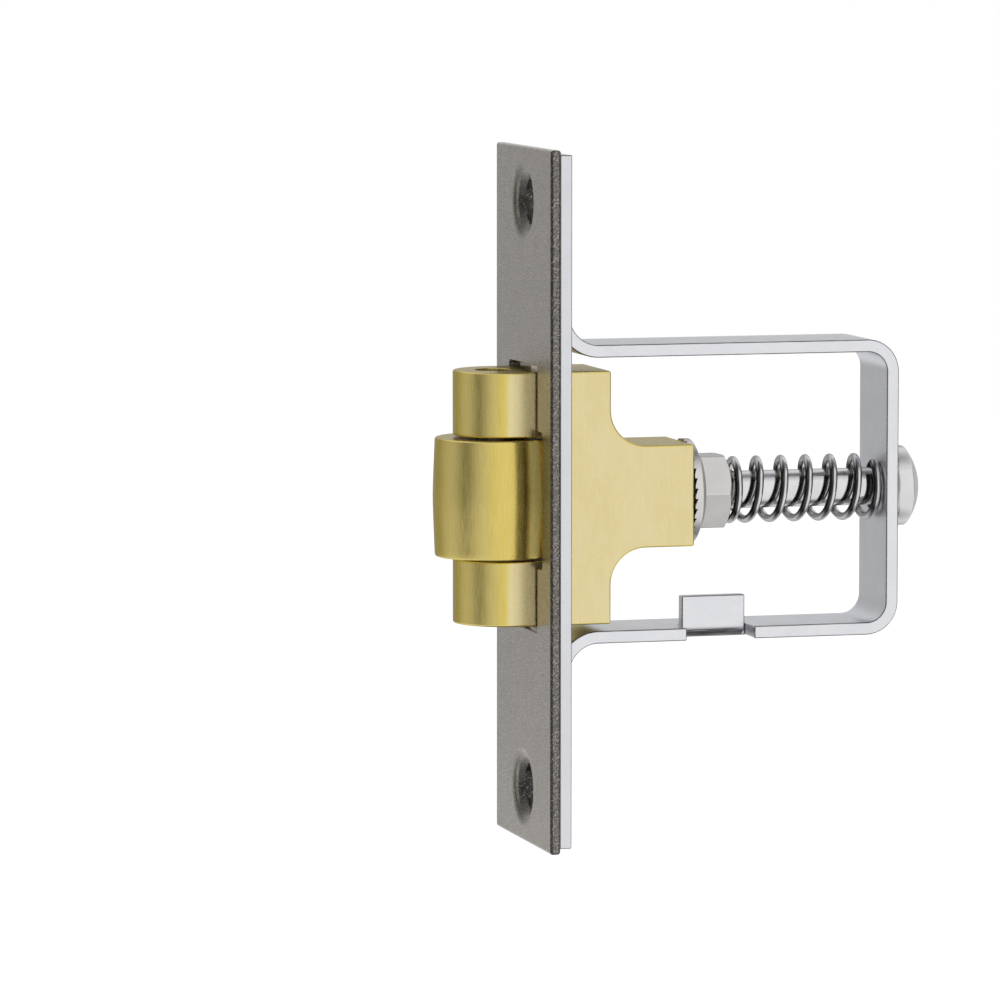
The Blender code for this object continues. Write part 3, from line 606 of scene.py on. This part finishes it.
def brass_material(name, flats, seed):
    """Brushed brass: upright streaks in colour, gloss and bump; the flat sides are paler, partly their
    ground finish and partly a painted sheen.
    """
    s = Shade(name, 0.25, seed)
    s.shader.inputs["Specular Tint"].default_value = (0.55, 0.54, 0.53, 1)
    streak = s.noise(s.place, (7000, 7000, 420), 3.0, 0.6, 2.0)
    hair = s.noise(s.place, (19000, 19000, 900), 2.0, 0.6, 4.0)
    cloud = s.noise(s.place, 300, 3.0, 0.5, 6.0)
    grain = s.noise(s.place, 9000, 3.0, 0.6, 8.0)
    deep = s.mix(s.range(streak, 0.3, 0.7), (0.695, 0.545, 0.130), (0.755, 0.608, 0.190))
    colour = deep
    # Flat sides paler: partly their ground finish, partly a painted sheen.
    if flats:
        ground_and_sheen_pale = s.mix(s.range(streak, 0.3, 0.7), (0.745, 0.632, 0.335), (0.785, 0.678, 0.385))
        flat = s.range(s.facing()[1], 0.985, 0.999)
        colour = s.mix(flat, deep, ground_and_sheen_pale)
    colour = s.mix(s.range(cloud, 0.35, 0.7, 0.0, 0.15), colour, (0.60, 0.49, 0.14))
    colour = s.mix(s.maths("MULTIPLY", s.edges(0.97, 0.9), 0.25), colour, (0.76, 0.67, 0.34))
    colour = s.mix(s.range(hair, 0.36, 0.2, 0.0, 0.25), colour, (0.42, 0.33, 0.08))
    roughness = s.maths("ADD", s.range(streak, 0.3, 0.7, 0.2, 0.27), s.maths("MULTIPLY", hair, 0.04))
    height = s.maths("ADD", streak, s.maths("ADD", s.maths("MULTIPLY", hair, 0.3),
                                            s.maths("MULTIPLY", grain, 0.1)))
    return s.surface(colour, roughness, height, 0.0000012, 0.4)


def steel_material(name, base, gloss, seed, coiled=False):
    """Bright steel: turned and drawn lines, faint stains, light scratches, and painted shade on a coil's
    flanks.
    """
    s = Shade(name, gloss, seed)
    s.shader.inputs["Specular Tint"].default_value = (0.6, 0.6, 0.6, 1)
    cloud = s.noise(s.place, 420, 4.0, 0.55)
    drawn = s.noise(s.place, (1500, 12000, 12000), 2.0, 0.5, 3.0)
    grain = s.noise(s.place, 9000, 3.0, 0.6, 5.0)
    loose = s.warped(0.0008, 420)
    marks = s.largest(
        s.scratches(loose, (0, 33, 8), 0.0012, 0.000025, 0.1, 0.2),
        s.scratches(loose, (18, -41, 70), 0.0009, 0.000025, 0.1, 0.6))
    marks = s.maths("MULTIPLY", marks, s.range(cloud, 0.4, 0.6))
    dull = tuple(channel * 0.92 for channel in base)
    worn = tuple(channel * 0.6 for channel in base)
    colour = s.mix(s.range(cloud, 0.3, 0.7), dull, base)
    colour = s.mix(s.range(grain, 0.3, 0.75, 0.0, 0.15), colour, worn)
    colour = s.mix(s.maths("MULTIPLY", marks, 0.4), colour, worn)
    # Painted shade on the coil's flanks, where the wire faces along the axis, strongest at the coil's sides.
    if coiled:
        along = s.add("ShaderNodeSeparateXYZ", {0: s.normal}).outputs[0]
        painted_flank_shade = s.largest(s.range(along, 0.05, -0.35), s.range(along, 0.6, 0.85))
        off_middle = s.maths("ABSOLUTE", s.add("ShaderNodeSeparateXYZ", {0: s.place}).outputs[2])
        painted_flank_shade = s.maths("MULTIPLY", painted_flank_shade, s.range(off_middle, 0.0031, 0.0019, 0.3, 0.95))
        colour = s.mix(painted_flank_shade, colour, (0.020, 0.018, 0.017))
    roughness = s.maths("ADD", s.range(cloud, 0.3, 0.7, gloss, gloss + 0.04),
                        s.maths("MULTIPLY", drawn, 0.03))
    height = s.maths("SUBTRACT", s.maths("ADD", s.maths("MULTIPLY", drawn, 0.5),
                                         s.maths("MULTIPLY", grain, 0.4)), s.maths("MULTIPLY", marks, 0.6))
    return s.surface(colour, roughness, height, 0.0000012, 0.4)


def window_outline():
    """A cross: narrow for the carrier, with a wider middle that lets the roller through."""
    narrow_y = CARRIER_WIDTH / 2 + WINDOW_SIDE_CLEARANCE
    end_z = CARRIER_HEIGHT / 2 + WINDOW_END_CLEARANCE
    wide_y = ROLLER_RADIUS + ROLLER_WINDOW_SIDE_CLEARANCE
    wide_z = ROLLER_LENGTH / 2 + ROLLER_WINDOW_END_CLEARANCE
    r = WINDOW_CORNER_RADIUS
    quarter = []
    quarter += arc((wide_y - r, wide_z - r), r, 0, 90, CORNER_STEPS)
    quarter += arc((narrow_y + r, wide_z + r), r, 270, 180, CORNER_STEPS)
    quarter += arc((narrow_y - r, end_z - r), r, 0, 90, CORNER_STEPS)
    upper = quarter + [(-y, z) for y, z in reversed(quarter)]
    return upper + [(y, -z) for y, z in reversed(upper)]


def cut_window(plate):
    low, high = -CUT_MARGIN, BACK_REAR + CUT_MARGIN
    combine(plate, slab("window", window_outline(), low, high, "X"), "DIFFERENCE")
    round_rims(plate, WINDOW_RIM_RADIUS)


def dimple_radius_at(x):
    """The outer side of the pressed countersink, a wall's thickness outside its 45 degree cone."""
    return COUNTERSINK_DIAMETER / 2 + DIMPLE_WALL * math.sqrt(2) - x


def at_each_fixing(plate, profile, operation, turn=0.0):
    """Join or cut the same turned shape at both fixing holes, its facets turned by some angle."""
    for side in (-1, 1):
        other = lathe("fixing", profile, "X", BORE_STEPS)
        other.data.transform(Matrix.Translation((0, 0, side * FIXING_Z)) @ Matrix.Rotation(turn, 4, "X"))
        combine(plate, other, operation)


def make_face_plate():
    """The plate is pressed in round each fixing hole, with a soft lip at its front."""
    plate = block("pewter_face_plate", (0, -PLATE_WIDTH / 2, -PLATE_LENGTH / 2),
                  (FACE_THICKNESS, PLATE_WIDTH / 2, PLATE_LENGTH / 2))
    bevel(plate, FACE_EDGE_RADIUS, SOFT_EDGE_SEGMENTS)
    cut_window(plate)
    middle = FACE_THICKNESS / 2
    dimple = [(0, DIMPLE_REAR), (dimple_radius_at(DIMPLE_REAR), DIMPLE_REAR),
              (dimple_radius_at(middle), middle), (0, middle)]
    at_each_fixing(plate, dimple, "UNION", math.pi / BORE_STEPS)
    hole_r = FIXING_HOLE_DIAMETER / 2
    sink_r = SINK_LOOK_DIAMETER / 2
    high = DIMPLE_REAR + CUT_MARGIN
    lip = SINK_LOOK_LIP_RADIUS
    lip_start = sink_r + lip * math.tan(math.radians(22.5))
    heel = rounded([(hole_r, high), (hole_r, sink_r - hole_r), (sink_r, 0)], {1: DIMPLE_HEEL_RADIUS})
    passage = [(0, high)] + heel[:-1]
    passage += arc((lip_start, lip), lip, 225, LIP_END_DEGREES, LIP_STEPS)
    passage += [(lip_start + CUT_MARGIN, -CUT_MARGIN), (0, -CUT_MARGIN)]
    at_each_fixing(plate, passage, "DIFFERENCE")
    dress(plate, "frame", "face_plate", pewter_material("worn_antique_pewter"))


def make_back_plate():
    half_y = PLATE_WIDTH / 2 - BACK_INSET
    half_z = PLATE_LENGTH / 2 - BACK_INSET
    plate = block("zinc_back_plate", (BACK_FRONT, -half_y, -half_z), (BACK_REAR, half_y, half_z))
    bevel(plate, BACK_EDGE_RADIUS)
    cut_window(plate)
    hole_r = dimple_radius_at(DIMPLE_REAR) + DIMPLE_CLEARANCE
    high = BACK_REAR + CUT_MARGIN
    low = BACK_FRONT - CUT_MARGIN
    nest = [(0, high), (hole_r, high), (hole_r, DIMPLE_REAR),
            (dimple_radius_at(low) + DIMPLE_CLEARANCE, low), (0, low)]
    at_each_fixing(plate, nest, "DIFFERENCE")
    dress(plate, "frame", "back_plate", zinc_material("zinc_on_plate", 0.37, False))


def strip_outline():
    """The strip's edge-on outline as (x, z): up one foot, round the loop and down to the other foot."""
    t = STRIP_THICKNESS
    upper_inner = [(FOOT_FRONT, FOOT_END_Z)]
    upper_inner += arc((FOOT_BEND_X, FOOT_BEND_Z), FOOT_BEND_RADIUS + t, 180, 270, BEND_STEPS)
    upper_inner += arc((END_BEND_X, END_BEND_Z), END_BEND_RADIUS, 90, 0, BEND_STEPS)
    upper_outer = [(FOOT_FRONT + t, FOOT_END_Z)]
    upper_outer += arc((FOOT_BEND_X, FOOT_BEND_Z), FOOT_BEND_RADIUS, 180, 270, BEND_STEPS)
    upper_outer += arc((END_BEND_X, END_BEND_Z), END_BEND_RADIUS + t, 90, 0, BEND_STEPS)
    inner = upper_inner + [(x, -z) for x, z in reversed(upper_inner)]
    outer = upper_outer + [(x, -z) for x, z in reversed(upper_outer)]
    return inner + list(reversed(outer))


def tab_outline():
    """The stop tab's section as (y, z): a foot in the arm, a bend and an upright."""
    t = STRIP_THICKNESS
    underside = -ARM_OUTER_Z
    bend_z = underside + t + TAB_BEND_RADIUS
    points = [(0.0, underside)]
    points += arc((TAB_BEND_Y, bend_z), TAB_BEND_RADIUS + t, 270, 180, 2 * CORNER_STEPS)
    points += [(TAB_OUTER_Y, underside + TAB_HEIGHT), (TAB_OUTER_Y + t, underside + TAB_HEIGHT)]
    points += arc((TAB_BEND_Y, bend_z), TAB_BEND_RADIUS, 180, 270, CORNER_STEPS)
    points += [(0.0, underside + t)]
    return points


def make_bracket():
    half = STRIP_WIDTH / 2
    bracket = slab("bent_strip_bracket", strip_outline(), -half, half, "Y")
    notch = block("notch", (TAB_FRONT_X - TAB_SHEAR_LINE, -half - CUT_MARGIN, -ARM_OUTER_Z - CUT_MARGIN),
                  (TAB_FRONT_X + TAB_LENGTH + TAB_SHEAR_GAP, TAB_BEND_Y, -ARM_INNER_Z + CUT_MARGIN))
    combine(bracket, notch, "DIFFERENCE")
    bevel(bracket, STRIP_LOOK_EDGE, FINE_EDGE_SEGMENTS, clamp=False)
    hole = rod("hole", SCREW_HOLE_DIAMETER / 2, END_WALL_INNER_X - CUT_MARGIN, BRACKET_REAR + CUT_MARGIN,
               "X", (0, -BRACKET_RAISE))
    combine(bracket, hole, "DIFFERENCE")
    round_rims(bracket)
    # The tab is rounded by itself and joined last, because its bend meets the notch at a cusp, and a bevel
    # run over that leaves spikes.
    tab = slab("tab", tab_outline(), TAB_FRONT_X, TAB_FRONT_X + TAB_LENGTH, "X")
    bevel(tab, STRIP_LOOK_EDGE, FINE_EDGE_SEGMENTS, clamp=False)
    combine(bracket, tab, "UNION")
    bracket.data.transform(Matrix.Translation((0, 0, BRACKET_RAISE)))
    dress(bracket, "frame", "bracket", zinc_material("zinc_on_strip", 0.0, True))


def carrier_side_outline():
    """The carrier from the side as (x, z): a tall front block, and a shank joined by two fillets."""
    front = -CARRIER_LUG_REACH - CUT_MARGIN
    half = CARRIER_HEIGHT / 2
    shank = SHANK_HEIGHT / 2
    fillet = arc((WING_REAR + SHANK_FILLET, shank + SHANK_FILLET), SHANK_FILLET, 180, 270, BEND_STEPS)
    upper = [(front, half), (WING_REAR, half)] + fillet + [(SHANK_REAR, shank)]
    return upper + [(x, -z) for x, z in reversed(upper)]


def make_carrier():
    half_width = CARRIER_WIDTH / 2 + CUT_MARGIN
    half_height = CARRIER_HEIGHT / 2 + CUT_MARGIN
    carrier = slab("brass_roller_carrier", carrier_side_outline(), -half_width, half_width, "Y")
    rear = SHANK_REAR + CUT_MARGIN
    plan = arc((NOSE_CENTRE_X, 0), NOSE_RADIUS, 90, 270, NOSE_STEPS)
    plan += [(rear, -CARRIER_WIDTH / 2), (rear, CARRIER_WIDTH / 2)]
    combine(carrier, slab("plan", plan, -half_height, half_height, "Z"), "INTERSECT")
    slot = block("slot", (-CARRIER_LUG_REACH - CUT_MARGIN, -half_width, -SLOT_HALF),
                 (SLOT_BOTTOM_X, half_width, SLOT_HALF))
    combine(carrier, slot, "DIFFERENCE")
    bevel(carrier, CARRIER_EDGE, clamp=False)
    pin_bore = rod("pin_bore", PIN_BORE_RADIUS, -half_height, half_height, "Z", (ROLLER_AXIS_X, 0))
    combine(carrier, pin_bore, "DIFFERENCE")
    screw_bore = rod("screw_bore", SCREW_BORE_RADIUS, SLOT_BOTTOM_X - CUT_MARGIN, rear, "X")
    combine(carrier, screw_bore, "DIFFERENCE")
    round_rims(carrier)
    dress(carrier, "carriage", "roller_carrier", brass_material("brass_carrier", True, 0.0))


def roller_radius_at(z):
    """The crown: two shallow cones that blend into each other at mid-height."""
    slope_run = math.hypot(z, ROLLER_CROWN_BLEND) - ROLLER_CROWN_BLEND
    end_run = math.hypot(ROLLER_LENGTH / 2, ROLLER_CROWN_BLEND) - ROLLER_CROWN_BLEND
    return ROLLER_RADIUS - ROLLER_CROWN * slope_run / end_run


def make_roller():
    half = ROLLER_LENGTH / 2
    crown_half = half - ROLLER_EDGE
    heights = [crown_half * (1 - 2 * i / CROWN_RINGS) for i in range(CROWN_RINGS + 1)]
    end_r = roller_radius_at(half)
    corner = rounded([(PIN_BORE_RADIUS, half), (end_r, half), (end_r, 0)], {1: ROLLER_EDGE})[1:-1]
    profile = [(PIN_BORE_RADIUS, half - BORE_RIM_RADIUS), (PIN_BORE_RADIUS + BORE_RIM_RADIUS, half)]
    profile += corner
    profile += [(roller_radius_at(z), z) for z in heights[1:-1]]
    profile += [(r, -z) for r, z in reversed(corner)]
    profile += [(PIN_BORE_RADIUS + BORE_RIM_RADIUS, -half), (PIN_BORE_RADIUS, BORE_RIM_RADIUS - half)]
    roller = lathe("brass_roller", profile, "Z", closed=True)
    roller.location = (ROLLER_AXIS_X, 0, 0)
    dress(roller, "roller", "roller", brass_material("brass_roller", False, 0.61))


def make_pin():
    half = CARRIER_HEIGHT / 2 - PIN_RECESS
    radius = PIN_DIAMETER / 2
    path = [(0, half), (radius, half), (radius, -half), (0, -half)]
    profile = rounded(path, {1: PIN_END_CHAMFER, 2: PIN_END_CHAMFER})
    pin = lathe("steel_axle_pin", profile, "Z", BORE_STEPS)
    pin.location = (ROLLER_AXIS_X, 0, 0)
    dress(pin, "carriage", "roller_pin",
          steel_material("steel_pin", (0.62, 0.61, 0.60), 0.2, 0.9))


def recess_cutter(top):
    """A cross recess whose wings narrow towards its floor.

    Each wing lacks one corner and slants there. That is a known error in this outline, not the solid's.
    """
    w, l = RECESS_WIDTH / 2, RECESS_LENGTH / 2
    corners = arc((l - RECESS_CORNER, w - RECESS_CORNER), RECESS_CORNER, 0, 90, RECESS_CORNER_STEPS)
    corners += arc((w + RECESS_CORNER, w + RECESS_CORNER), RECESS_CORNER, 270, 180, RECESS_CORNER_STEPS)
    outline = []
    for quarter in range(4):
        turn = Matrix.Rotation(math.pi / 2 * quarter, 2)
        outline += [tuple(turn @ Vector(corner)) for corner in corners]
    cutter = slab("recess", outline, top - RECESS_DEPTH, top + CUT_MARGIN, "X")
    middle = top - HEAD_LOOK_DOME / 2
    for vertex in cutter.data.vertices:
        if vertex.co.x < middle:
            vertex.co.y *= RECESS_TAPER
            vertex.co.z *= RECESS_TAPER
        else:
            grow = 1 + (1 - RECESS_TAPER) * CUT_MARGIN / (RECESS_DEPTH + CUT_MARGIN)
            vertex.co.y *= grow
            vertex.co.z *= grow
    return cutter


def make_screw():
    """The pan head has an upright band with a rounded foot, and a dome that meets it at a crease."""
    head_r = HEAD_DIAMETER / 2
    dome_start = HEAD_FRONT + HEAD_BAND
    top = dome_start + HEAD_LOOK_DOME
    cap_r = (head_r ** 2 + HEAD_LOOK_DOME ** 2) / (2 * HEAD_LOOK_DOME)
    cap = []
    for i in range(BEND_STEPS):
        a = math.asin(head_r / cap_r) * i / BEND_STEPS
        cap.append((cap_r * math.sin(a), top - cap_r + cap_r * math.cos(a)))
    path = [cap[-1], (head_r, dome_start), (head_r, HEAD_FRONT), (SCREW_RADIUS, HEAD_FRONT),
            (SCREW_RADIUS, SCREW_TIP), (0, SCREW_TIP)]
    profile = cap[:-1] + rounded(path, {1: HEAD_CREASE, 2: HEAD_EDGE_RADIUS, 4: SCREW_TIP_CHAMFER})
    screw = lathe("steel_adjusting_screw", profile, "X")
    combine(screw, recess_cutter(top), "DIFFERENCE")
    dress(screw, "carriage", "adjusting_screw",
          steel_material("steel_screw", (0.76, 0.76, 0.765), 0.05, 0.3))


def serration_cutter():
    """Radial wedges, each with one upright flank and one sloping flank, all round the flange's front."""
    inner, outer = SERRATION_INNER_DIAMETER / 2, FLANGE_DIAMETER / 2 + CUT_MARGIN
    pitch_angle = 2 * math.pi / SERRATIONS
    width = SERRATION_SHARE * FLANGE_DIAMETER * math.sin(pitch_angle / 2)
    section = [(0, SERRATION_LOOK_DEPTH), (-width, 0), (-width, -CUT_MARGIN), (0, -CUT_MARGIN)]
    work = bmesh.new()
    for i in range(SERRATIONS):
        turn = Matrix.Rotation((i + SERRATION_PHASE) * pitch_angle, 4, "X")
        near, far = [], []
        for radius, ring in ((inner, near), (outer, far)):
            for across, depth in section:
                place = Vector((NUT_FRONT + depth, across * radius / outer, radius))
                ring.append(work.verts.new(turn @ place))
        work.faces.new(near)
        work.faces.new(list(reversed(far)))
        for a in range(len(section)):
            b = (a + 1) % len(section)
            work.faces.new((near[b], near[a], far[a], far[b]))
    return new_piece("serrations", work)


def make_nut():
    corner_r = HEX_ACROSS_FLATS / 2 / math.cos(math.pi / HEX_SIDES)
    face_r = HEX_FACE_DIAMETER / 2
    flange_r = FLANGE_DIAMETER / 2
    band_rear = NUT_FRONT + FLANGE_BAND
    slope_rear = band_rear + FLANGE_SLOPE_HEIGHT
    nut = rod("serrated_flange_nut", corner_r, band_rear, NUT_REAR, "X", steps=HEX_SIDES)
    bevel(nut, NUT_EDGE_RADIUS * 2, FINE_EDGE_SEGMENTS)
    envelope_r = corner_r + CUT_MARGIN
    chamfer_run = (envelope_r - face_r) * math.tan(HEX_CHAMFER_ANGLE)
    envelope = lathe("envelope", [
        (0, NUT_REAR + CUT_MARGIN), (face_r, NUT_REAR + CUT_MARGIN), (face_r, NUT_REAR),
        (envelope_r, NUT_REAR - chamfer_run), (envelope_r, NUT_FRONT), (0, NUT_FRONT)], "X")
    combine(nut, envelope, "INTERSECT")
    path = [(0, slope_rear), (flange_r - FLANGE_SLOPE_RUN, slope_rear), (flange_r, band_rear),
            (flange_r, NUT_FRONT), (0, NUT_FRONT)]
    flange = lathe("flange", rounded(path, {2: NUT_EDGE_RADIUS * 2}), "X")
    combine(nut, flange, "UNION")
    combine(nut, serration_cutter(), "DIFFERENCE")
    bore = rod("nut_bore", SCREW_BORE_RADIUS, NUT_FRONT - CUT_MARGIN, NUT_REAR + CUT_MARGIN, "X")
    combine(nut, bore, "DIFFERENCE")
    dress(nut, "carriage", "flange_nut",
          steel_material("steel_nut", (0.72, 0.705, 0.69), 0.2, 0.0))


def spring_advances(count):
    """How far along the axis the wire has come at each step: closed turns at the ends, open between."""
    weights = []
    for i in range(ADVANCE_SAMPLES):
        t = (i + 0.5) / ADVANCE_SAMPLES * SPRING_TURNS
        past_closed = min(t - SPRING_CLOSED_FRONT, SPRING_TURNS - t - SPRING_CLOSED_REAR)
        weights.append(min(1.0, max(0.0, past_closed / SPRING_BLEND_TURNS)))
    open_length = SPRING_REAR - SPRING_FRONT - WIRE_DIAMETER * (1 + SPRING_TURNS)
    share = open_length / sum(weights)
    reached = [0.0]
    for weight in weights:
        reached.append(reached[-1] + share * weight)
    advances = []
    for i in range(count + 1):
        place = i / count * ADVANCE_SAMPLES
        low = min(int(place), ADVANCE_SAMPLES - 1)
        opened = reached[low] + (reached[low + 1] - reached[low]) * (place - low)
        advances.append(WIRE_DIAMETER * SPRING_TURNS * i / count + opened)
    return advances


def make_spring():
    """The wire as a tube swept along the coil, with slightly rounded cut ends."""
    count = int(round(SPRING_TURNS * WIRE_STEPS_PER_TURN))
    centres = []
    for i, advance in enumerate(spring_advances(count)):
        angle = SPRING_START_ANGLE - 2 * math.pi * SPRING_TURNS * i / count
        centres.append(Vector((SPRING_FRONT + WIRE_DIAMETER / 2 + advance,
                               -SPRING_RADIUS * math.cos(angle), -SPRING_RADIUS * math.sin(angle))))
    wire_r = WIRE_DIAMETER / 2
    end_r = WIRE_END_RADIUS
    shoulder_r, shoulder_in = wire_r - WIRE_SHOULDER * end_r, (1 - WIRE_SHOULDER) * end_r
    sections = [(0, 0.0, wire_r - end_r), (0, shoulder_in, shoulder_r)]
    sections += [(i, 0.0, wire_r) for i in range(1, count)]
    sections += [(count, -shoulder_in, shoulder_r), (count, 0.0, wire_r - end_r)]
    work = bmesh.new()
    rings = []
    for i, inward, radius in sections:
        ahead = centres[min(i + 1, count)] - centres[max(i - 1, 0)]
        tangent = ahead.normalized()
        outward = Vector((0, centres[i].y, centres[i].z)).normalized()
        outward = (outward - tangent * outward.dot(tangent)).normalized()
        side = tangent.cross(outward)
        centre = centres[i] + tangent * inward
        ring = []
        for k in range(WIRE_SIDES):
            angle = 2 * math.pi * k / WIRE_SIDES
            ring.append(work.verts.new(
                centre + (outward * math.cos(angle) + side * math.sin(angle)) * radius))
        rings.append(ring)
    for near, far in zip(rings, rings[1:]):
        for k in range(WIRE_SIDES):
            m = (k + 1) % WIRE_SIDES
            work.faces.new((near[k], far[k], far[m], near[m]))
    work.faces.new(rings[0])
    work.faces.new(rings[-1])
    spring = new_piece("steel_compression_spring", work)
    dress(spring, "frame", "compression_spring",
          steel_material("steel_spring", (0.74, 0.74, 0.745), 0.08, 0.5, coiled=True), weighted=False)
    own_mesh(spring)


def add_camera():
    camera = bpy.data.cameras.new("camera")
    camera.lens = CAMERA_LENS
    camera.sensor_width = CAMERA_SENSOR
    camera.clip_start = CAMERA_CLIP_START
    holder = linked("camera", camera)
    holder.location = CAMERA_PLACE
    holder.rotation_euler = CAMERA_TURN
    bpy.context.scene.camera = holder


def seen_directly(tree):
    """1 for camera, glossy and transmission rays, and 0 for the rays that light matt surfaces."""
    path = tree.nodes.new("ShaderNodeLightPath")
    total = path.outputs["Is Camera Ray"]
    for name in ("Is Glossy Ray", "Is Transmission Ray"):
        add = tree.nodes.new("ShaderNodeMath")
        add.operation = "MAXIMUM"
        tree.links.new(total, add.inputs[0])
        tree.links.new(path.outputs[name], add.inputs[1])
        total = add.outputs[0]
    return total


def white_background(tree, strength):
    node = tree.nodes.new("ShaderNodeBackground")
    node.inputs["Strength"].default_value = strength
    node.inputs["Color"].default_value = (1, 1, 1, 1)
    return node


def add_world():
    world = bpy.data.worlds.new("white_surround")
    bpy.context.scene.world = world
    world.use_nodes = True
    tree = world.node_tree
    tree.nodes.clear()
    output = tree.nodes.new("ShaderNodeOutputWorld")
    light = white_background(tree, WORLD_DIFFUSE_STRENGTH)
    shown = white_background(tree, 1.0)
    mix = tree.nodes.new("ShaderNodeMixShader")
    tree.links.new(seen_directly(tree), mix.inputs[0])
    tree.links.new(light.outputs[0], mix.inputs[1])
    tree.links.new(shown.outputs[0], mix.inputs[2])
    tree.links.new(mix.outputs[0], output.inputs["Surface"])


def add_floor():
    work = bmesh.new()
    bmesh.ops.create_circle(work, cap_ends=True, radius=FLOOR_RADIUS, segments=FLOOR_STEPS)
    floor = mesh_object("pale_floor", work)
    floor.location = (0, 0, FLOOR_Z)
    material, tree, shader = new_material("pale_floor")
    shader.inputs["Roughness"].default_value = FLOOR_ROUGHNESS
    shader.inputs["Emission Color"].default_value = (1, 1, 1, 1)
    # Glossy rays see a painted shadow on the floor: dark straight below the part, fading to pale further
    # out.
    glossy = tree.nodes.new("ShaderNodeLightPath").outputs["Is Glossy Ray"]
    colour = tree.nodes.new("ShaderNodeMix")
    colour.data_type = "RGBA"
    tree.links.new(glossy, colour.inputs[0])
    colour.inputs[6].default_value = (*FLOOR_COLOUR, 1)
    colour.inputs[7].default_value = (*FLOOR_SHADE_COLOUR, 1)
    tree.links.new(colour.outputs[2], shader.inputs["Base Color"])
    coords = tree.nodes.new("ShaderNodeTexCoord")
    away = tree.nodes.new("ShaderNodeVectorMath")
    away.operation = "LENGTH"
    tree.links.new(coords.outputs["Object"], away.inputs[0])
    fade = tree.nodes.new("ShaderNodeMapRange")
    fade.interpolation_type = "SMOOTHSTEP"
    fade.inputs["From Min"].default_value = FLOOR_SHADE_START
    fade.inputs["From Max"].default_value = FLOOR_SHADE_END
    fade.inputs["To Max"].default_value = FLOOR_SHADE_FILL
    tree.links.new(away.outputs["Value"], fade.inputs["Value"])
    fill = tree.nodes.new("ShaderNodeMix")
    tree.links.new(glossy, fill.inputs[0])
    fill.inputs[2].default_value = FLOOR_FILL
    tree.links.new(fade.outputs[0], fill.inputs[3])
    shown = tree.nodes.new("ShaderNodeMath")
    shown.operation = "MULTIPLY"
    tree.links.new(seen_directly(tree), shown.inputs[0])
    tree.links.new(fill.outputs[0], shown.inputs[1])
    tree.links.new(shown.outputs[0], shader.inputs["Emission Strength"])
    floor.data.materials.append(material)


def add_card(name, rings):
    """A graded grey card from rings of (place, grey), which only glossy rays see."""
    work = bmesh.new()
    shades = work.verts.layers.float_color.new("grey")
    lines = []
    for ring in rings:
        line = []
        for place, grey in ring:
            vertex = work.verts.new(place)
            vertex[shades] = (grey, grey, grey, 1)
            line.append(vertex)
        lines.append(line)
    for near, far in zip(lines, lines[1:]):
        for i in range(len(near) - 1):
            work.faces.new((near[i], near[i + 1], far[i + 1], far[i]))
    card = mesh_object(name, work)
    material, tree, shader = new_material(name)
    shader.inputs["Base Color"].default_value = (0, 0, 0, 1)
    shader.inputs["Specular IOR Level"].default_value = 0.0
    shader.inputs["Emission Strength"].default_value = 1.0
    grey = tree.nodes.new("ShaderNodeVertexColor")
    grey.layer_name = "grey"
    tree.links.new(grey.outputs["Color"], shader.inputs["Emission Color"])
    card.data.materials.append(material)
    for ray in ("camera", "diffuse", "transmission", "shadow"):
        setattr(card, "visible_" + ray, False)


def add_side_card(name, greys):
    """A card that curves round the part, with greys that follow the direction round from the front."""
    rings = []
    for degrees, grey in greys:
        angle = math.radians(degrees)
        x, y = CARD_DISTANCE * math.sin(angle), -CARD_DISTANCE * math.cos(angle)
        rings.append([((x, y, SIDE_CARD_LOW), grey), ((x, y, SIDE_CARD_HIGH), grey)])
    add_card(name, rings)


def add_top_card():
    """The card overhead is round, darkest straight above the part, and its greys follow the elevation."""
    rings = []
    for degrees, grey in TOP_CARD_GREYS:
        radius = CARD_DISTANCE / math.tan(math.radians(min(degrees, TOP_CARD_STEEPEST)))
        ring = []
        for k in range(FLOOR_STEPS + 1):
            angle = 2 * math.pi * k / FLOOR_STEPS
            ring.append(((radius * math.cos(angle), radius * math.sin(angle), CARD_DISTANCE), grey))
        rings.append(ring)
    add_card("top_card", rings)


def add_lamp():
    data = bpy.data.lights.new("soft_key", "AREA")
    data.shape = "SQUARE"
    data.size = LAMP_SIZE
    data.energy = LAMP_ENERGY
    lamp = linked("soft_key", data)
    place = Vector(LAMP_PLACE)
    lamp.location = place
    lamp.rotation_euler = (-place).to_track_quat("-Z", "Y").to_euler()
    lamp.visible_camera = False
    lamp.visible_glossy = False


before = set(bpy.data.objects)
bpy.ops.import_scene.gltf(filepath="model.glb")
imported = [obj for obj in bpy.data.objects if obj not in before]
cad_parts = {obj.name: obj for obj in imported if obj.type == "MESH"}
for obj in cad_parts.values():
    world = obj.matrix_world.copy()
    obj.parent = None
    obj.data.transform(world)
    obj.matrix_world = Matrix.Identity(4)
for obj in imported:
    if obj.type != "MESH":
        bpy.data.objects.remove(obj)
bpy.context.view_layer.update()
bpy.context.scene.view_settings.view_transform = "Standard"
add_camera()
add_world()
add_floor()
add_lamp()
add_side_card("left_card", LEFT_CARD_GREYS)
add_side_card("right_card", RIGHT_CARD_GREYS)
add_top_card()
make_face_plate()
make_back_plate()
make_bracket()
make_carrier()
make_roller()
make_pin()
make_screw()
make_nut()
make_spring()
